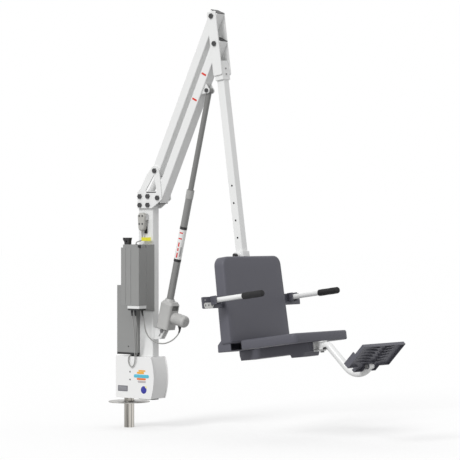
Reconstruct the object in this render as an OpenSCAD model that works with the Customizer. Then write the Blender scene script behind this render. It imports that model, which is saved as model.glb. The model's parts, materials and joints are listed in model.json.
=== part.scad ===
/* [Deck post] */
// Outside diameter of the stainless deck post
post_d = 54; // [50:0.5:56]
// Wall of the deck post
post_wall = 3; // [2:0.5:5]
// Length of post that drops into the deck socket
post_drop = 135; // [100:5:180]
// Height of the post above the deck, hidden in the cover
post_rise = 196; // [190:1:200]
// Diameter of the deck flange
flange_d = 222; // [160:2:260]
// Thickness of the deck flange
flange_t = 5; // [3:0.5:8]

/* [Mast] */
// Height of the mast's foot above the deck
mast_foot = 27.5; // [24:0.5:32]
// Length of the mast tube
mast_len = 1091; // [1040:1:1140]
// Depth of the mast tube, front to back
mast_d = 101.6; // [90:0.1:110]
// Width of the mast tube, side to side
mast_w = 50.8; // [44:0.1:56]
// Distance from the post axis to the back of the mast
mast_back = 89; // [88:0.5:96]
// Wall of the steel tubes
tube_wall = 4.8; // [3:0.1:6]
// Corner radius of the steel tubes
tube_r = 5; // [3:0.5:8]

/* [Base drive] */
// Outside diameter of the hub tube that turns on the post
hub_d = 76.2; // [74:0.1:80]
// Thickness of the plates that clasp the mast
clasp_t = 6.6; // [5:0.1:8]
// Module of the slewing gears
gear_m = 2.5; // [2.5:0.5:3]
// Face width of the slewing gears
gear_w = 14; // [10:1:16]
// Width of the base cover, outside
cover_w = 118; // [110:1:130]
// Height of the base cover's top edge above the deck
cover_top = 250; // [240:1:256]
// Thickness of the sheet cover
cover_t = 3; // [2:0.5:4]
// How far the front of the cover bulges
cover_bulge = 21; // [15:1:26]
// Height of the slewing motor's housing
slew_box_h = 358.5; // [320:0.5:400]
// Height of its black bottom trim
trim_h = 10.6; // [8:0.1:14]

/* [Control boxes] */
// Width of the battery and controller, along X
box_w = 126; // [110:1:140]
// Depth of the battery pack
battery_d = 62; // [50:1:70]
// Height of the battery pack, without its lid
battery_h = 305; // [260:1:340]
// Depth of the controller box
controller_d = 62; // [50:1:66]
// Height of the battery's foot above the deck
battery_z = 526; // [500:1:560]

/* [Lifting arms] */
// Pivot to pivot length of both arms
arm_len = 883; // [820:1:940]
// Width of the arm tubes
arm_w = 63.5; // [58:0.1:70]
// Depth of the arm tubes
arm_h = 50.8; // [44:0.1:54]
// Angle of the arms above level, at rest
arm_angle = 63.9; // [60:0.1:66]
// Distance between the two pivots at the knee and at the link
pivot_gap = 145; // [140:1:155]
// Backward lean of the two pivots and of the seat tube
lean = 8; // [7:0.1:9]
// Diameter of the pivot pins
pin_d = 16; // [12:0.5:18]
// Thickness of the knee and link plates
plate_t = 6.35; // [5:0.05:8]

/* [Actuator] */
// Height of the actuator's foot pin above the deck
foot_pin_h = 390; // [385:1:395]
// Distance of the foot pin from the mast's front
foot_pin_reach = 58.5; // [56:0.5:64]
// Distance of the upper clevis along the lower arm
clevis_along = 641; // [620:1:660]
// Drop of the upper clevis below the arm's axis
clevis_drop = 47.2; // [45:0.1:52]
// Outside diameter of the outer tube
ram_tube_d = 38.1; // [37:0.1:42]
// Bore of the outer tube and of its guide ring
ram_bore = 35.4; // [34.8:0.1:36]
// Diameter of the inner tube
rod_d = 29; // [27:0.1:29.4]
// Distance of the outer tube's top from the foot pin
ram_top = 765; // [740:1:790]
// Side of the square motor case
case_w = 78; // [70:1:84]

/* [Seat] */
// Side of the square seat tube
seat_tube_w = 44.45; // [40:0.05:46]
// Length of the seat tube below the link pivot
seat_tube_len = 1636; // [1620:1:1650]
// Width of the backrest at its top
back_w_top = 474; // [440:2:500]
// Width of the backrest at its foot
back_w_foot = 500; // [460:2:520]
// Height of the backrest
back_h = 440; // [400:5:470]
// Thickness of the moulded skins
skin = 6; // [4:0.5:8]
// Width of the seat pan
pan_w = 448; // [400:2:480]
// Depth of the seat pan
pan_d = 350; // [320:2:380]
// Thickness of the seat pan
pan_t = 48; // [36:1:56]
// Length of the armrests
armrest_len = 303; // [260:1:320]
// Distance between the armrests
armrest_gap = 628; // [600:2:660]
// Diameter of the armrest tubes
armrest_d = 25.4; // [22:0.1:30]

/* [Footrest] */
// Diameter of the footrest tube
foot_tube_d = 38.1; // [32:0.1:40]
// Width of the footplate
footplate_w = 350; // [300:1:380]
// Length of the footplate
footplate_l = 145; // [120:1:170]
// Number of ribs under the footplate
footplate_ribs = 6; // [4:1:8]

/* [Hidden] */
$fn = 48;
// Fits
run_fit = 0.05;
slip_fit = 0.1;
gap = 0.3;
side_gap = 0.25;

// Mast and knee places
mast_front = mast_back + mast_d;
mast_x = mast_back + mast_d / 2;
mast_top = mast_foot + mast_len;
cap_t = 5;
knee_x = mast_front + 44.5;
knee_z = mast_top - 25;
plate_in = arm_w / 2 + side_gap;
plate_out = plate_in + plate_t;
arm_end = 25.4;
arm_knee_end = 18;
arm_cap_t = 3;
bush_d = 25.4;
head_af = 24;
head_t = 8;

// Knee bolts, from the pivot
knee_bolts = [[-124, 9], [-68, 9], [-124, -37.5], [-68, -37.5]];
knee_bolt_d = 16;
base_bolts = [[125, 80], [165, 80], [125, 160], [165, 160]];
base_bolt_d = 12;

// Link and seat frame
link_x = knee_x + arm_len * cos(arm_angle);
link_z = knee_z + arm_len * sin(arm_angle);
link_up = 24;
link_down = 166;
sleeve_top = -96;
sleeve_len = 95;
sleeve_d = 50.8;

// Actuator places
foot_pin_x = mast_front + foot_pin_reach;
foot_pin_d = 12;
clevis_x = knee_x + clevis_along * cos(arm_angle) + clevis_drop * sin(arm_angle);
clevis_z = knee_z + clevis_along * sin(arm_angle) - clevis_drop * cos(arm_angle);
ram_lean = atan2(clevis_x - foot_pin_x, clevis_z - foot_pin_h);
ram_span = norm([clevis_x - foot_pin_x, clevis_z - foot_pin_h]);
ear_in = 16.5;
ear_t = 6.35;
eye_w = 24;
lug_t = 6;
case_z = 15.5;
case_h = 148;
case_shift = 7;
drum_y = 6;
drum_z = 66;
ring_d = 41.5;
ring_h = 46;
rod_tail = 624;

// Base drive places
post_bore = post_d - 2 * post_wall;
journal_d = post_d - 1;
lip_recess_d = post_d + 22;
lip_recess = flange_t - 2;
collar_z = 30;
collar_d = 76;
collar_h = 12;
washer_t = 3;
hub_z = collar_z + collar_h + washer_t;
hub_top = post_rise - 1;
bush_od = 60;
bush_h = 30;
gear_n = 28;
pinion_n = 14;
gear_z = post_rise + 4;
pinion_x = gear_m * (gear_n + pinion_n) / 2 + 0.25;
pinion_shaft_d = 12;
motor_plate_z = gear_z + gear_w + 4;
motor_plate_t = 6;
gearbox_r = 33;
cover_back = -43;
cover_z = mast_foot;
cover_edge = 205;
cover_sheet_in = 6;
cover_screw_x = 59;
cover_screw_z = [126.5, 167.5];
slew_box_z = 259.5;
slew_box_back = -34;
slew_box_front = 100;
slew_box_w = 117.2;
slew_box_t = 3;
slew_box_screws = [[47.5, 302.5], [47.5, 560]];

// Control box places
box_x = 80;
controller_y = -30;
battery_y = controller_y - controller_d;
battery_front = battery_y - battery_d;
lid_h = 16;
tray_t = 17;
strip_t = 9;
controller_top = battery_z + battery_h + lid_h;
rail_w = 30;
rail_t = 6;
strip_foot = battery_z - tray_t - strip_t;
gland_foot = strip_foot - 6;

// Handset places
handset_x = 134;
handset_z = 965;
handset_back = -33;
handset_t = 25;
button_d = 9;
buttons = [[-11, 33], [11, 33], [-11, -9], [11, -9]];
stud_z = 990;
stud_drop = 18;
stud_head = 14;
handset_cord_y = -46;
cord_top = 884;

// Seat places in the leaning frame
carriage_gap = 0.4;
carriage_in = seat_tube_w + 2 * carriage_gap;
carriage_w = 57.2;
carriage_top = -1085;
carriage_foot = -1640;
hole_pitch = 90;
hole_z = -743;
lock_z = hole_z - 4 * hole_pitch;
back_top = -1114.5;
back_front = 64;
back_rear = 2;
back_foot = back_top - back_h;
pan_top = -1544;
pan_x = 102;
base_top = pan_top - pan_t;
base_rear = -36;
bar_z = -1342;
bar_h = 58;
bar_t = 8;
bar_len = 796;
grip_d = 34;
grip_len = 128;
spine_w = 128;
spine_front = 408;
rail_h = 26;

// Footrest places in the leaning frame, from the swing pin
swing_x = 440;
swing_z = -1616.5;
swing_pin_d = 12;
bracket_w = 58;
bracket_lip = 41;
bracket_t = 4.8;
bracket_foot = -1641;
plunger_y = -25;
plunger_z = -1630;
plunger_d = 6;
weld_step = 0.2;
foot_start = 22;
foot_bend_r = 40;
foot_drop = 51;
foot_run = 138;
foot_lift_r = 90;
foot_lift = 90;
foot_rise = foot_lift - foot_drop;
run_x = foot_start + foot_bend_r * sin(foot_drop);
run_z = -foot_bend_r * (1 - cos(foot_drop));
lift_x = run_x + foot_run * cos(foot_drop) + foot_lift_r * sin(foot_drop);
lift_z = run_z - foot_run * sin(foot_drop) + foot_lift_r * cos(foot_drop);
hinge_run = 12;
hinge_x = lift_x + foot_lift_r * sin(foot_rise) + hinge_run * cos(foot_rise);
hinge_z = lift_z - foot_lift_r * cos(foot_rise) + hinge_run * sin(foot_rise);
hinge_d = 10;
hub_w = 40;
ear_gap = hub_w / 2 + gap;
ear_plate_t = 6;
footplate_t = 5;
footplate_seat = 16;
footplate_lobe = 40;
lip_t = 5;

// Cables: hand-chosen points along their routes, and their diameters
ram_cable_d = 7;
ram_gland = [foot_pin_x + 102.9, 6, foot_pin_h + 10];
ram_route = [ram_gland, ram_gland + [-2, -2, -12], ram_gland + [-8, -5, -26], ram_gland + [-18, -10, -40],
    [318, -10, 345], [296, -18, 332], [270, -27, 324], [244, -36, 325], [220, -44, 333], [199, -52, 347],
    [185, -60, 366], [178, -68, 390], [176, -76, 420], [177, -84, 455], [178, -94, 482],
    [178, -96, gland_foot]];
slew_cable_d = 6;
slew_route = [[132, -126, gland_foot], [132, -126, 482], [132, -121, 455], [130, -112, 425],
    [126, -102, 390], [121, -93, 350], [114, -84, 315], [109, -77, 285], [106, -73, 262], [104, -70, 240],
    [99, -68, 218], [90, -67, 202], [76, -66, 195], [62, -66, 203], [54, -66, 222], [55, -66, 242],
    [59, -62, 254], [62, -55, 256], [62, -50, slew_box_z]];
brake_cable_d = 6;
brake_route = [[150, -120, gland_foot], [150, -119, 482], [148, -112, 455], [144, -101, 425],
    [138, -90, 390], [130, -80, 350], [122, -72, 312], [114, -65, 284], [107, -59, 263], [101, -56, 256.2],
    [94, -51, 255.4], [90, -48, slew_box_z]];
hand_cable_d = 6;
hand_route = [[handset_x, handset_cord_y, cord_top], [134, -46, 876], [132, -48, 870], [126, -52, 866],
    [118, -56, 863], [110, -60, 860], [106, -62, 855], [106, -62, controller_top + 2]];
cable_sides = 8;

// Frames
module knee_frame() {
    translate([knee_x, 0, knee_z]) children();
}
module arm_frame() {
    knee_frame() rotate([0, -arm_angle, 0]) children();
}
module upper_frame() {
    translate([knee_x - pivot_gap * sin(lean), 0, knee_z + pivot_gap * cos(lean)])
        rotate([0, -arm_angle, 0]) children();
}
module link_frame() {
    translate([link_x, 0, link_z]) rotate([0, -lean, 0]) children();
}
module ram_frame() {
    translate([foot_pin_x, 0, foot_pin_h]) rotate([0, ram_lean, 0]) children();
}

// Shared shapes
module rounded(w, h, r) {
    square([w - 2 * r, h], center = true);
    square([w, h - 2 * r], center = true);
    for (x = [-1, 1], y = [-1, 1]) translate([x * (w / 2 - r), y * (h / 2 - r)]) circle(r);
}
module box_tube(w, h, wall, r, len) {
    linear_extrude(len) difference() {
        rounded(w, h, r);
        rounded(w - 2 * wall, h - 2 * wall, max(r - wall, 1));
    }
}
module across(d, len) {
    rotate([90, 0, 0]) cylinder(d = d, h = len, center = true);
}
module side_plate(y0, t) {
    translate([0, y0 + t, 0]) rotate([90, 0, 0]) linear_extrude(t) children();
}
module hex_bolt(d, half_len, af, t) {
    across(d, 2 * half_len);
    for (s = [-1, 1]) translate([0, s * (half_len + t / 2), 0]) rotate([90, 0, 0])
        cylinder(d = af / cos(30), h = t, center = true, $fn = 6);
}
module eye(r, w, d) {
    difference() {
        across(2 * r, w);
        across(d, w + 2);
    }
}

// Involute gear outline
function inv_angle(a) = tan(a) * 180 / PI - a;
function flank(rb, r) = r <= rb ? 0 : inv_angle(acos(rb / r));
module gear_outline(n, m, backlash) {
    rp = n * m / 2;
    rb = rp * cos(20);
    half = 90 / n + inv_angle(20) - backlash / rp * 180 / PI;
    radii = [rp - 1.2 * m, for (k = [0:4]) rb + (rp + 0.9 * m - rb) * k / 4];
    polygon([for (t = [0:n - 1], s = [-1, 1], k = [0:5]) let(
        r = radii[s < 0 ? k : 5 - k], a = 360 * t / n + s * (half - flank(rb, r))) [r * cos(a),
            r * sin(a)]]);
}

// Cable swept along its points
function unit(v) = v / norm(v);
function tangent(p, i) = unit(p[min(i + 1, len(p) - 1)] - p[max(i - 1, 0)]);
function curve_at(p, i, t) = let(a = p[max(i - 1, 0)], b = p[i], c = p[i + 1],
    d = p[min(i + 2, len(p) - 1)])
    0.5 * (2 * b + (c - a) * t + (2 * a - 5 * b + 4 * c - d) * t * t + (3 * b - a - 3 * c + d) * t * t * t);
function smooth_route(p, steps) = [for (i = [0:len(p) - 2], k = [0:steps - 1]) curve_at(p, i, k / steps),
    p[len(p) - 1]];
function ring_at(p, i, r) = let(t = i == 0 || i == len(p) - 1 ? [0, 0, i == 0 ? sign(p[1][2] - p[0][2])
        : sign(p[i][2] - p[i - 1][2])] : tangent(p, i), side = unit(cross([0, 1, 0.001], t)),
            up = cross(t, side))
    [for (k = [0:cable_sides - 1])
        p[i] + r * (cos(360 * k / cable_sides) * side + sin(360 * k / cable_sides) * up)];
module swept(route, d, steps) {
    p = smooth_route(route, steps);
    n = len(p);
    s = cable_sides;
    polyhedron([for (i = [0:n - 1]) each ring_at(p, i, d / 2)], concat([[for (k = [0:s - 1]) k]],
        [for (i = [0:n - 2], k = [0:s - 1], h = [0, 1]) h == 0 ?
            [i * s + k, (i + 1) * s + k, (i + 1) * s + (k + 1) % s] :
            [i * s + k, (i + 1) * s + (k + 1) % s, i * s + (k + 1) % s]],
        [[for (k = [s - 1:-1:0]) (n - 1) * s + k]]));
}

// Deck post and what stands on it
module anchor_post() {
    color("silver") rotate_extrude() {
        polygon([[post_bore / 2, -post_drop], [post_d / 2, -post_drop], [post_d / 2, 0],
            [journal_d / 2, 0],
            [journal_d / 2, post_rise], [post_bore / 2, post_rise]]);
    }
}
module deck_flange() {
    color("silver") rotate_extrude() {
        polygon([[lip_recess_d / 2, 0], [flange_d / 2 - 1, 0], [flange_d / 2, 1],
            [flange_d / 2, flange_t - 1],
            [flange_d / 2 - 1, flange_t], [journal_d / 2, flange_t], [journal_d / 2, lip_recess],
            [lip_recess_d / 2, lip_recess]]);
    }
}
module post_collar() {
    color("dimgray") translate([0, 0, collar_z]) difference() {
        cylinder(d = collar_d, h = collar_h);
        translate([0, 0, -1]) cylinder(d = journal_d, h = collar_h + 2);
        for (a = [0, 180]) rotate(a) translate([0, 0, collar_h / 2]) rotate([90, 0, 0])
            cylinder(d = 6, h = collar_d);
    }
}
module slew_gear() {
    color("slategray") {
        translate([0, 0, post_rise - 18]) cylinder(d = post_bore - slip_fit, h = 18);
        translate([0, 0, post_rise]) cylinder(d = post_d + 2, h = gear_z - post_rise);
        translate([0, 0, gear_z]) linear_extrude(gear_w) gear_outline(gear_n, gear_m, 0.12);
        translate([0, 0, gear_z + gear_w]) cylinder(d = 30, h = 3);
    }
}

// Base frame, drive and cover
module base_frame() {
    color("whitesmoke") {
        difference() {
            union() {
                translate([0, 0, hub_z]) cylinder(d = hub_d, h = hub_top - hub_z);
                for (s = [-1, 1]) side_plate(s > 0 ? mast_w / 2 : -mast_w / 2 - clasp_t, clasp_t) polygon([
                    [-20, hub_z + 20], [0, hub_z], [mast_front - 10, hub_z],
                        [mast_front - 10, hub_top - 10],
                    [mast_front - 25, hub_top], [mast_back + 6, hub_top], [mast_back + 6, motor_plate_z],
                    [42, motor_plate_z], [42, hub_top], [-20, hub_top]]);
            }
            translate([0, 0, hub_z - 1]) cylinder(d = bush_od, h = hub_top - hub_z + 2);
            for (p = base_bolts) translate([p[0], 0, p[1]])
                across(base_bolt_d + slip_fit, mast_w + 2 * clasp_t + 2);
        }
        for (s = [-1, 1], z = cover_screw_z) translate([cover_screw_x, s * (mast_w / 2 + clasp_t), z])
            rotate([s * -90, 0, 0]) difference() {
                cylinder(d = 14, h = cover_w / 2 - cover_t - mast_w / 2 - clasp_t);
                translate([0, 0, 6]) cylinder(d = 5, h = 40);
            }
        translate([0, 0, motor_plate_z]) linear_extrude(motor_plate_t) difference() {
            translate([14, -mast_w / 2 - clasp_t]) square([mast_back - 14, mast_w + 2 * clasp_t]);
            translate([pinion_x, 0]) circle(d = pinion_shaft_d + 6);
        }
    }
}
module post_bushes() {
    color("ivory") for (k = [0, 1]) difference() {
        union() {
            translate([0, 0, k ? hub_top - bush_h : hub_z]) cylinder(d = bush_od, h = bush_h);
            if (k == 0) translate([0, 0, collar_z + collar_h]) cylinder(d = collar_d, h = washer_t);
        }
        cylinder(d = journal_d + 2 * run_fit, h = hub_top + 1);
    }
}
module slew_motor() {
    top = motor_plate_z + motor_plate_t;
    color("dimgray") translate([pinion_x, 0, top]) difference() {
        union() {
            cylinder(r = gearbox_r, h = 66);
            translate([0, 0, 66]) cylinder(r = gearbox_r - 2, h = 8);
            translate([0, 0, 74]) cylinder(r = gearbox_r - 4, h = 118);
            translate([0, 0, 192]) cylinder(r = gearbox_r - 7, h = 8);
        }
        translate([0, 0, -1]) cylinder(d = pinion_shaft_d + 2 * run_fit, h = 31);
    }
}
module slew_pinion() {
    shaft_top = motor_plate_z + motor_plate_t + 28;
    color("slategray") translate([pinion_x, 0, 0]) {
        translate([0, 0, gear_z - 1]) rotate(180 + 180 / pinion_n) linear_extrude(gear_w + 2)
            gear_outline(pinion_n, gear_m, 0.12);
        translate([0, 0, gear_z - 3]) cylinder(d = pinion_shaft_d, h = shaft_top - gear_z + 3);
    }
}
module cover_outline(inset, back_t) {
    mid_z = (cover_z + cover_top) / 2;
    half = (cover_top - cover_z) / 2;
    bend_r = (half * half + cover_bulge * cover_bulge) / (2 * cover_bulge);
    intersection() {
        translate([cover_back + back_t, cover_z]) square([400, cover_top - cover_z]);
        translate([cover_edge + cover_bulge - bend_r, mid_z]) circle(r = bend_r - inset, $fn = 180);
    }
}
module drive_cover() {
    color("white") difference() {
        union() {
            for (s = [0, 1]) side_plate(s * (cover_w - cover_t) - cover_w / 2, cover_t)
                cover_outline(0, 0);
            side_plate(-cover_w / 2 + cover_t, cover_w - 2 * cover_t) difference() {
                cover_outline(cover_sheet_in, 0);
                translate([0, -cover_t]) cover_outline(cover_sheet_in + cover_t, cover_t);
            }
        }
        translate([mast_back - 2, -mast_w / 2 - 2, cover_top - 10]) cube([mast_d + 4, mast_w + 4, 20]);
        translate([pinion_x, 0, cover_top - 10]) cylinder(r = gearbox_r + 3, h = 20);
        for (z = cover_screw_z) translate([cover_screw_x, 0, z]) across(5.4, cover_w + 2);
    }
}
module screw(d, head, len) {
    translate([0, 0, -len]) cylinder(d = d, h = len);
    cylinder(d1 = head, d2 = head * 0.7, h = 2.4);
}
module mast_fasteners() {
    base_half = mast_w / 2 + clasp_t;
    color("dimgray") {
        for (s = [-1, 1], z = cover_screw_z) translate([cover_screw_x, s * cover_w / 2, z])
            rotate([s * -90, 0, 0])
            screw(4.8, 9, 14);
        for (s = [-1, 1], p = slew_box_screws) translate([p[0], s * slew_box_w / 2, p[1]])
            rotate([s * -90, 0, 0])
            screw(4, 8, 8);
        for (p = base_bolts) translate([p[0], 0, p[1]]) hex_bolt(base_bolt_d, base_half, 20, 7);
        knee_frame() for (p = knee_bolts) translate([p[0], 0, p[1]])
            hex_bolt(knee_bolt_d, plate_out, head_af, head_t);
    }
}

// Mast
module mast_tube() {
    color("white") difference() {
        translate([mast_x, 0, mast_foot]) box_tube(mast_d, mast_w, tube_wall, tube_r, mast_len);
        for (p = base_bolts) translate([p[0], 0, p[1]]) across(base_bolt_d + slip_fit, mast_w + 2);
        for (p = knee_bolts) knee_frame() translate([p[0], 0, p[1]])
            across(knee_bolt_d + slip_fit, mast_w + 2);
    }
}
module tube_cap(w, h, t, plug) {
    linear_extrude(t) rounded(w, h, tube_r);
    mirror([0, 0, 1]) linear_extrude(plug)
        rounded(w - 2 * tube_wall - slip_fit, h - 2 * tube_wall - slip_fit, 1);
}
module mast_caps() {
    color("black") {
        translate([mast_x, 0, mast_top]) tube_cap(mast_d, mast_w, cap_t, 6);
        translate([mast_x, 0, mast_foot]) mirror([0, 0, 1]) tube_cap(mast_d, mast_w, cap_t + 1, 12);
    }
}
module slew_box_outline(inset) {
    difference() {
        translate([slew_box_back + inset, -slew_box_w / 2 + inset])
            square([slew_box_front - slew_box_back - 2 * inset, slew_box_w - 2 * inset]);
        translate([mast_back - inset, -mast_w / 2 - 1 - inset]) square([60, mast_w + 2 + 2 * inset]);
    }
}
module slew_housing() {
    foot = slew_box_z + trim_h;
    color("darkgray") difference() {
        translate([0, 0, foot]) linear_extrude(slew_box_h) slew_box_outline(0);
        translate([0, 0, foot - 1]) linear_extrude(slew_box_h - slew_box_t + 1)
            slew_box_outline(slew_box_t);
        for (p = slew_box_screws) translate([p[0], 0, p[1]]) across(4.4, slew_box_w + 2);
    }
}
module housing_trim() {
    color("black") translate([0, 0, slew_box_z]) difference() {
        linear_extrude(trim_h) slew_box_outline(0);
        translate([0, 0, slew_box_t]) linear_extrude(trim_h) slew_box_outline(slew_box_t);
        translate([pinion_x, 0, -1]) cylinder(r = gearbox_r + 1, h = 10);
    }
}

// Controller, battery and their tray
module controller_box() {
    color("gray") difference() {
        union() {
            translate([box_x, 0, 0]) rotate([90, 0, 90]) linear_extrude(box_w) polygon([
                [battery_y, battery_z - tray_t], [controller_y, battery_z - 34],
                    [controller_y, controller_top],
                [battery_y, controller_top]]);
            translate([box_x + box_w / 2 - rail_w / 2, battery_y - rail_t, battery_z + 30])
                cube([rail_w, rail_t, 240]);
        }
        translate([box_x - 1, -slew_box_w / 2 - 2, battery_z - 60])
            cube([slew_box_front + 3 - box_x, 60, slew_box_z + trim_h + slew_box_h + 3 - battery_z + 60]);
        translate([box_x + box_w - 8, battery_y - 1, controller_top - 20]) cube([9, 5, 21]);
    }
    color("black") translate([hand_route[7][0], hand_route[7][1], controller_top]) cylinder(d = 12, h = 2);
}
module controller_bracket() {
    color("whitesmoke") translate([mast_x - 35, controller_y, battery_z + 60])
        cube([70, -mast_w / 2 - controller_y, 230]);
}
module battery_tray() {
    gland_tops = [ram_route[len(ram_route) - 1], slew_route[0], brake_route[0]];
    foot = battery_z - tray_t;
    color("white") difference() {
        translate([box_x + 42, battery_front + 4, foot]) cube([box_w - 44, battery_d - 4, tray_t]);
        translate([box_x + 60, battery_front + 16, battery_z - 4]) cube([box_w - 80, battery_d - 30, 20]);
    }
    color("black") {
        translate([box_x + 44, battery_front + 6, strip_foot]) cube([box_w - 48, battery_d - 8, strip_t]);
        for (p = gland_tops) translate([p[0], p[1], gland_foot])
            cylinder(d = 12, h = strip_foot - gland_foot + 1);
    }
}
module battery_pack() {
    groove = 1.2;
    color("darkgray") difference() {
        union() {
            translate([box_x, battery_front, battery_z]) cube([box_w, battery_d - gap, battery_h]);
            translate([box_x + 9, battery_front + 6, battery_z + battery_h])
                cube([box_w - 12, battery_d - 12, lid_h]);
        }
        for (x = [32, 68]) translate([box_x + x, battery_front - 1, battery_z + 6])
            cube([3, 1 + groove, battery_h - 12]);
        translate([box_x + box_w / 2 - rail_w / 2 - 1, battery_y - rail_t - 1, battery_z - 1])
            cube([rail_w + 2, rail_t + 2, 30 + 240 + 3]);
    }
}
module battery_handle() {
    top_z = battery_z + battery_h + lid_h;
    color("black") translate([box_x + 26, battery_y - battery_d + 24, top_z]) {
        difference() {
            rotate([90, 0, 0]) linear_extrude(22, center = true) polygon([
                [-14, 0], [16, 0], [17, 18], [22, 36], [-25, 36], [-24, 24], [-15, 14]]);
            translate([0, 0, 16]) across(11, 30);
        }
    }
}

// Knee
module knee_outline() {
    polygon([[-142, -54.5], [-42, -55], [29, -8], [23, 52], [16, 105], [7, 147], [-42, 158], [-74, 127],
        [-117, 54], [-142, 30]]);
    translate([-pivot_gap * sin(lean), pivot_gap * cos(lean)]) circle(r = 27);
}
module knee_window() {
    polygon([[-29, 118], [-24, 116], [-8, 40], [-11, 36], [-82, 36], [-84, 40]]);
    translate([-27, 116]) circle(r = 3, $fn = 24);
}
module knee_plates() {
    color("white") knee_frame() for (s = [0, 1]) difference() {
        union() {
            side_plate(s ? plate_in : -plate_out, plate_t) difference() {
                knee_outline();
                knee_window();
            }
            side_plate(s ? mast_w / 2 : -plate_in, plate_in - mast_w / 2) polygon([
                [-140, -52], [mast_front - knee_x, -52], [mast_front - knee_x, 23], [-140, 23]]);
        }
        across(pin_d + slip_fit, 4 * plate_out);
        translate([-pivot_gap * sin(lean), 0, pivot_gap * cos(lean)])
            across(pin_d + slip_fit, 4 * plate_out);
        for (p = knee_bolts) translate([p[0], 0, p[1]]) across(knee_bolt_d + slip_fit, 4 * plate_out);
    }
}
module knee_pins() {
    color("dimgray") knee_frame() for (k = [0, 1])
        translate([-k * pivot_gap * sin(lean), 0, k * pivot_gap * cos(lean)])
            hex_bolt(pin_d, plate_out, head_af, head_t);
}

// Ram bracket on the mast
module ram_bracket() {
    lug_in = eye_w / 2 + gap;
    color("white") {
        translate([mast_front, -mast_w / 2 + tube_r, foot_pin_h - 46]) cube([8, mast_w - 2 * tube_r, 66]);
        for (s = [-1, 1]) difference() {
            side_plate(s > 0 ? lug_in : -lug_in - lug_t, lug_t) union() {
                polygon([[mast_front + 7, foot_pin_h - 46], [foot_pin_x - 12, foot_pin_h - 44],
                    [foot_pin_x + 12, foot_pin_h - 7], [foot_pin_x, foot_pin_h + 13.8],
                    [mast_front + 7, foot_pin_h + 13.8]]);
                translate([foot_pin_x, foot_pin_h]) circle(r = 14);
            }
            translate([foot_pin_x, 0, foot_pin_h]) across(foot_pin_d + slip_fit, 4 * lug_in + 4 * lug_t);
        }
    }
}
module ram_foot_pin() {
    far = eye_w / 2 + gap + lug_t;
    color("dimgray") translate([foot_pin_x, 0, foot_pin_h]) {
        across(foot_pin_d, 2 * far + 12);
        translate([0, -far - 3, 0]) across(19, 6);
        translate([0, far + 3, 0]) across(19, 6);
        translate([0, -far - 4, 0]) rotate([0, 35, 0]) translate([0, 0, -34]) cylinder(d = 3, h = 30);
    }
}

// Arms
module arm_tube() {
    color("white") difference() {
        translate([-arm_knee_end, 0, 0]) rotate([0, 90, 0]) box_tube(arm_h, arm_w, tube_wall, tube_r,
            arm_len + arm_knee_end + arm_end);
        for (x = [0, arm_len]) translate([x, 0, 0]) across(bush_d, arm_w + 2);
    }
}
module arm_fittings() {
    color("ivory") for (x = [0, arm_len]) translate([x, 0, 0]) eye(bush_d / 2, arm_w + 2 * side_gap - 0.1,
        pin_d + 2 * run_fit);
    color("black") {
        translate([arm_len + arm_end, 0, 0]) rotate([0, 90, 0]) tube_cap(arm_h, arm_w, arm_cap_t, 8);
        translate([-arm_knee_end, 0, 0]) rotate([0, -90, 0]) tube_cap(arm_h, arm_w, arm_cap_t, 3);
    }
}
module clevis_ears() {
    color("white") for (s = [0, 1]) difference() {
        side_plate(s ? ear_in : -ear_in - ear_t, ear_t) {
            polygon([[clevis_along - 30, -arm_h / 2 + 0.5], [clevis_along + 30, -arm_h / 2 + 0.5],
                [clevis_along + 14.5, -clevis_drop - 4], [clevis_along - 14.5, -clevis_drop - 4]]);
            translate([clevis_along, -clevis_drop]) circle(r = 16);
        }
        translate([clevis_along, 0, -clevis_drop]) across(pin_d + slip_fit, 100);
    }
}
module lower_arm() {
    arm_frame() {
        arm_tube();
        clevis_ears();
    }
}
module upper_arm() {
    upper_frame() arm_tube();
}
module lower_arm_fittings() {
    arm_frame() arm_fittings();
}
module upper_arm_fittings() {
    upper_frame() arm_fittings();
}
module clevis_pin() {
    color("dimgray") translate([clevis_x, 0, clevis_z]) {
        across(pin_d, 2 * (ear_in + ear_t + 4));
        for (s = [-1, 1]) translate([0, s * (ear_in + ear_t + 3), 0]) across(22, 6);
    }
}

// Link at the arms' far end, with the seat tube
module link_outline() {
    translate([0, (pivot_gap + link_up - link_down) / 2]) rounded(57, pivot_gap + link_up + link_down, 10);
}
module link_plates() {
    color("white") link_frame() for (s = [0, 1]) difference() {
        side_plate(s ? plate_in : -plate_out, plate_t) link_outline();
        for (z = [0, pivot_gap]) translate([0, 0, z]) across(pin_d + slip_fit, 4 * plate_out);
    }
}
module link_pins() {
    color("dimgray") link_frame() for (z = [0, pivot_gap]) translate([0, 0, z])
        hex_bolt(pin_d, plate_out, head_af, head_t);
}
module post_sleeve() {
    color("white") link_frame() translate([0, 0, sleeve_top - sleeve_len]) {
        difference() {
            linear_extrude(sleeve_len) rounded(sleeve_d, 2 * plate_in, tube_r);
            translate([0, 0, -1]) linear_extrude(sleeve_len + 2)
                square(seat_tube_w + slip_fit, center = true);
        }
    }
    color("dimgray") link_frame() for (z = [28, 58])
        translate([sleeve_d / 2, 0, sleeve_top - sleeve_len + z])
        rotate([0, 90, 0]) cylinder(d = 9, h = 4);
}
module seat_tube() {
    color("white") link_frame() difference() {
        translate([0, 0, -seat_tube_len])
            box_tube(seat_tube_w, seat_tube_w, 3.2, 4, seat_tube_len + sleeve_top + 4);
        for (k = [0:4]) translate([0, 0, hole_z - k * hole_pitch]) across(11, seat_tube_w + 2);
    }
}

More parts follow.
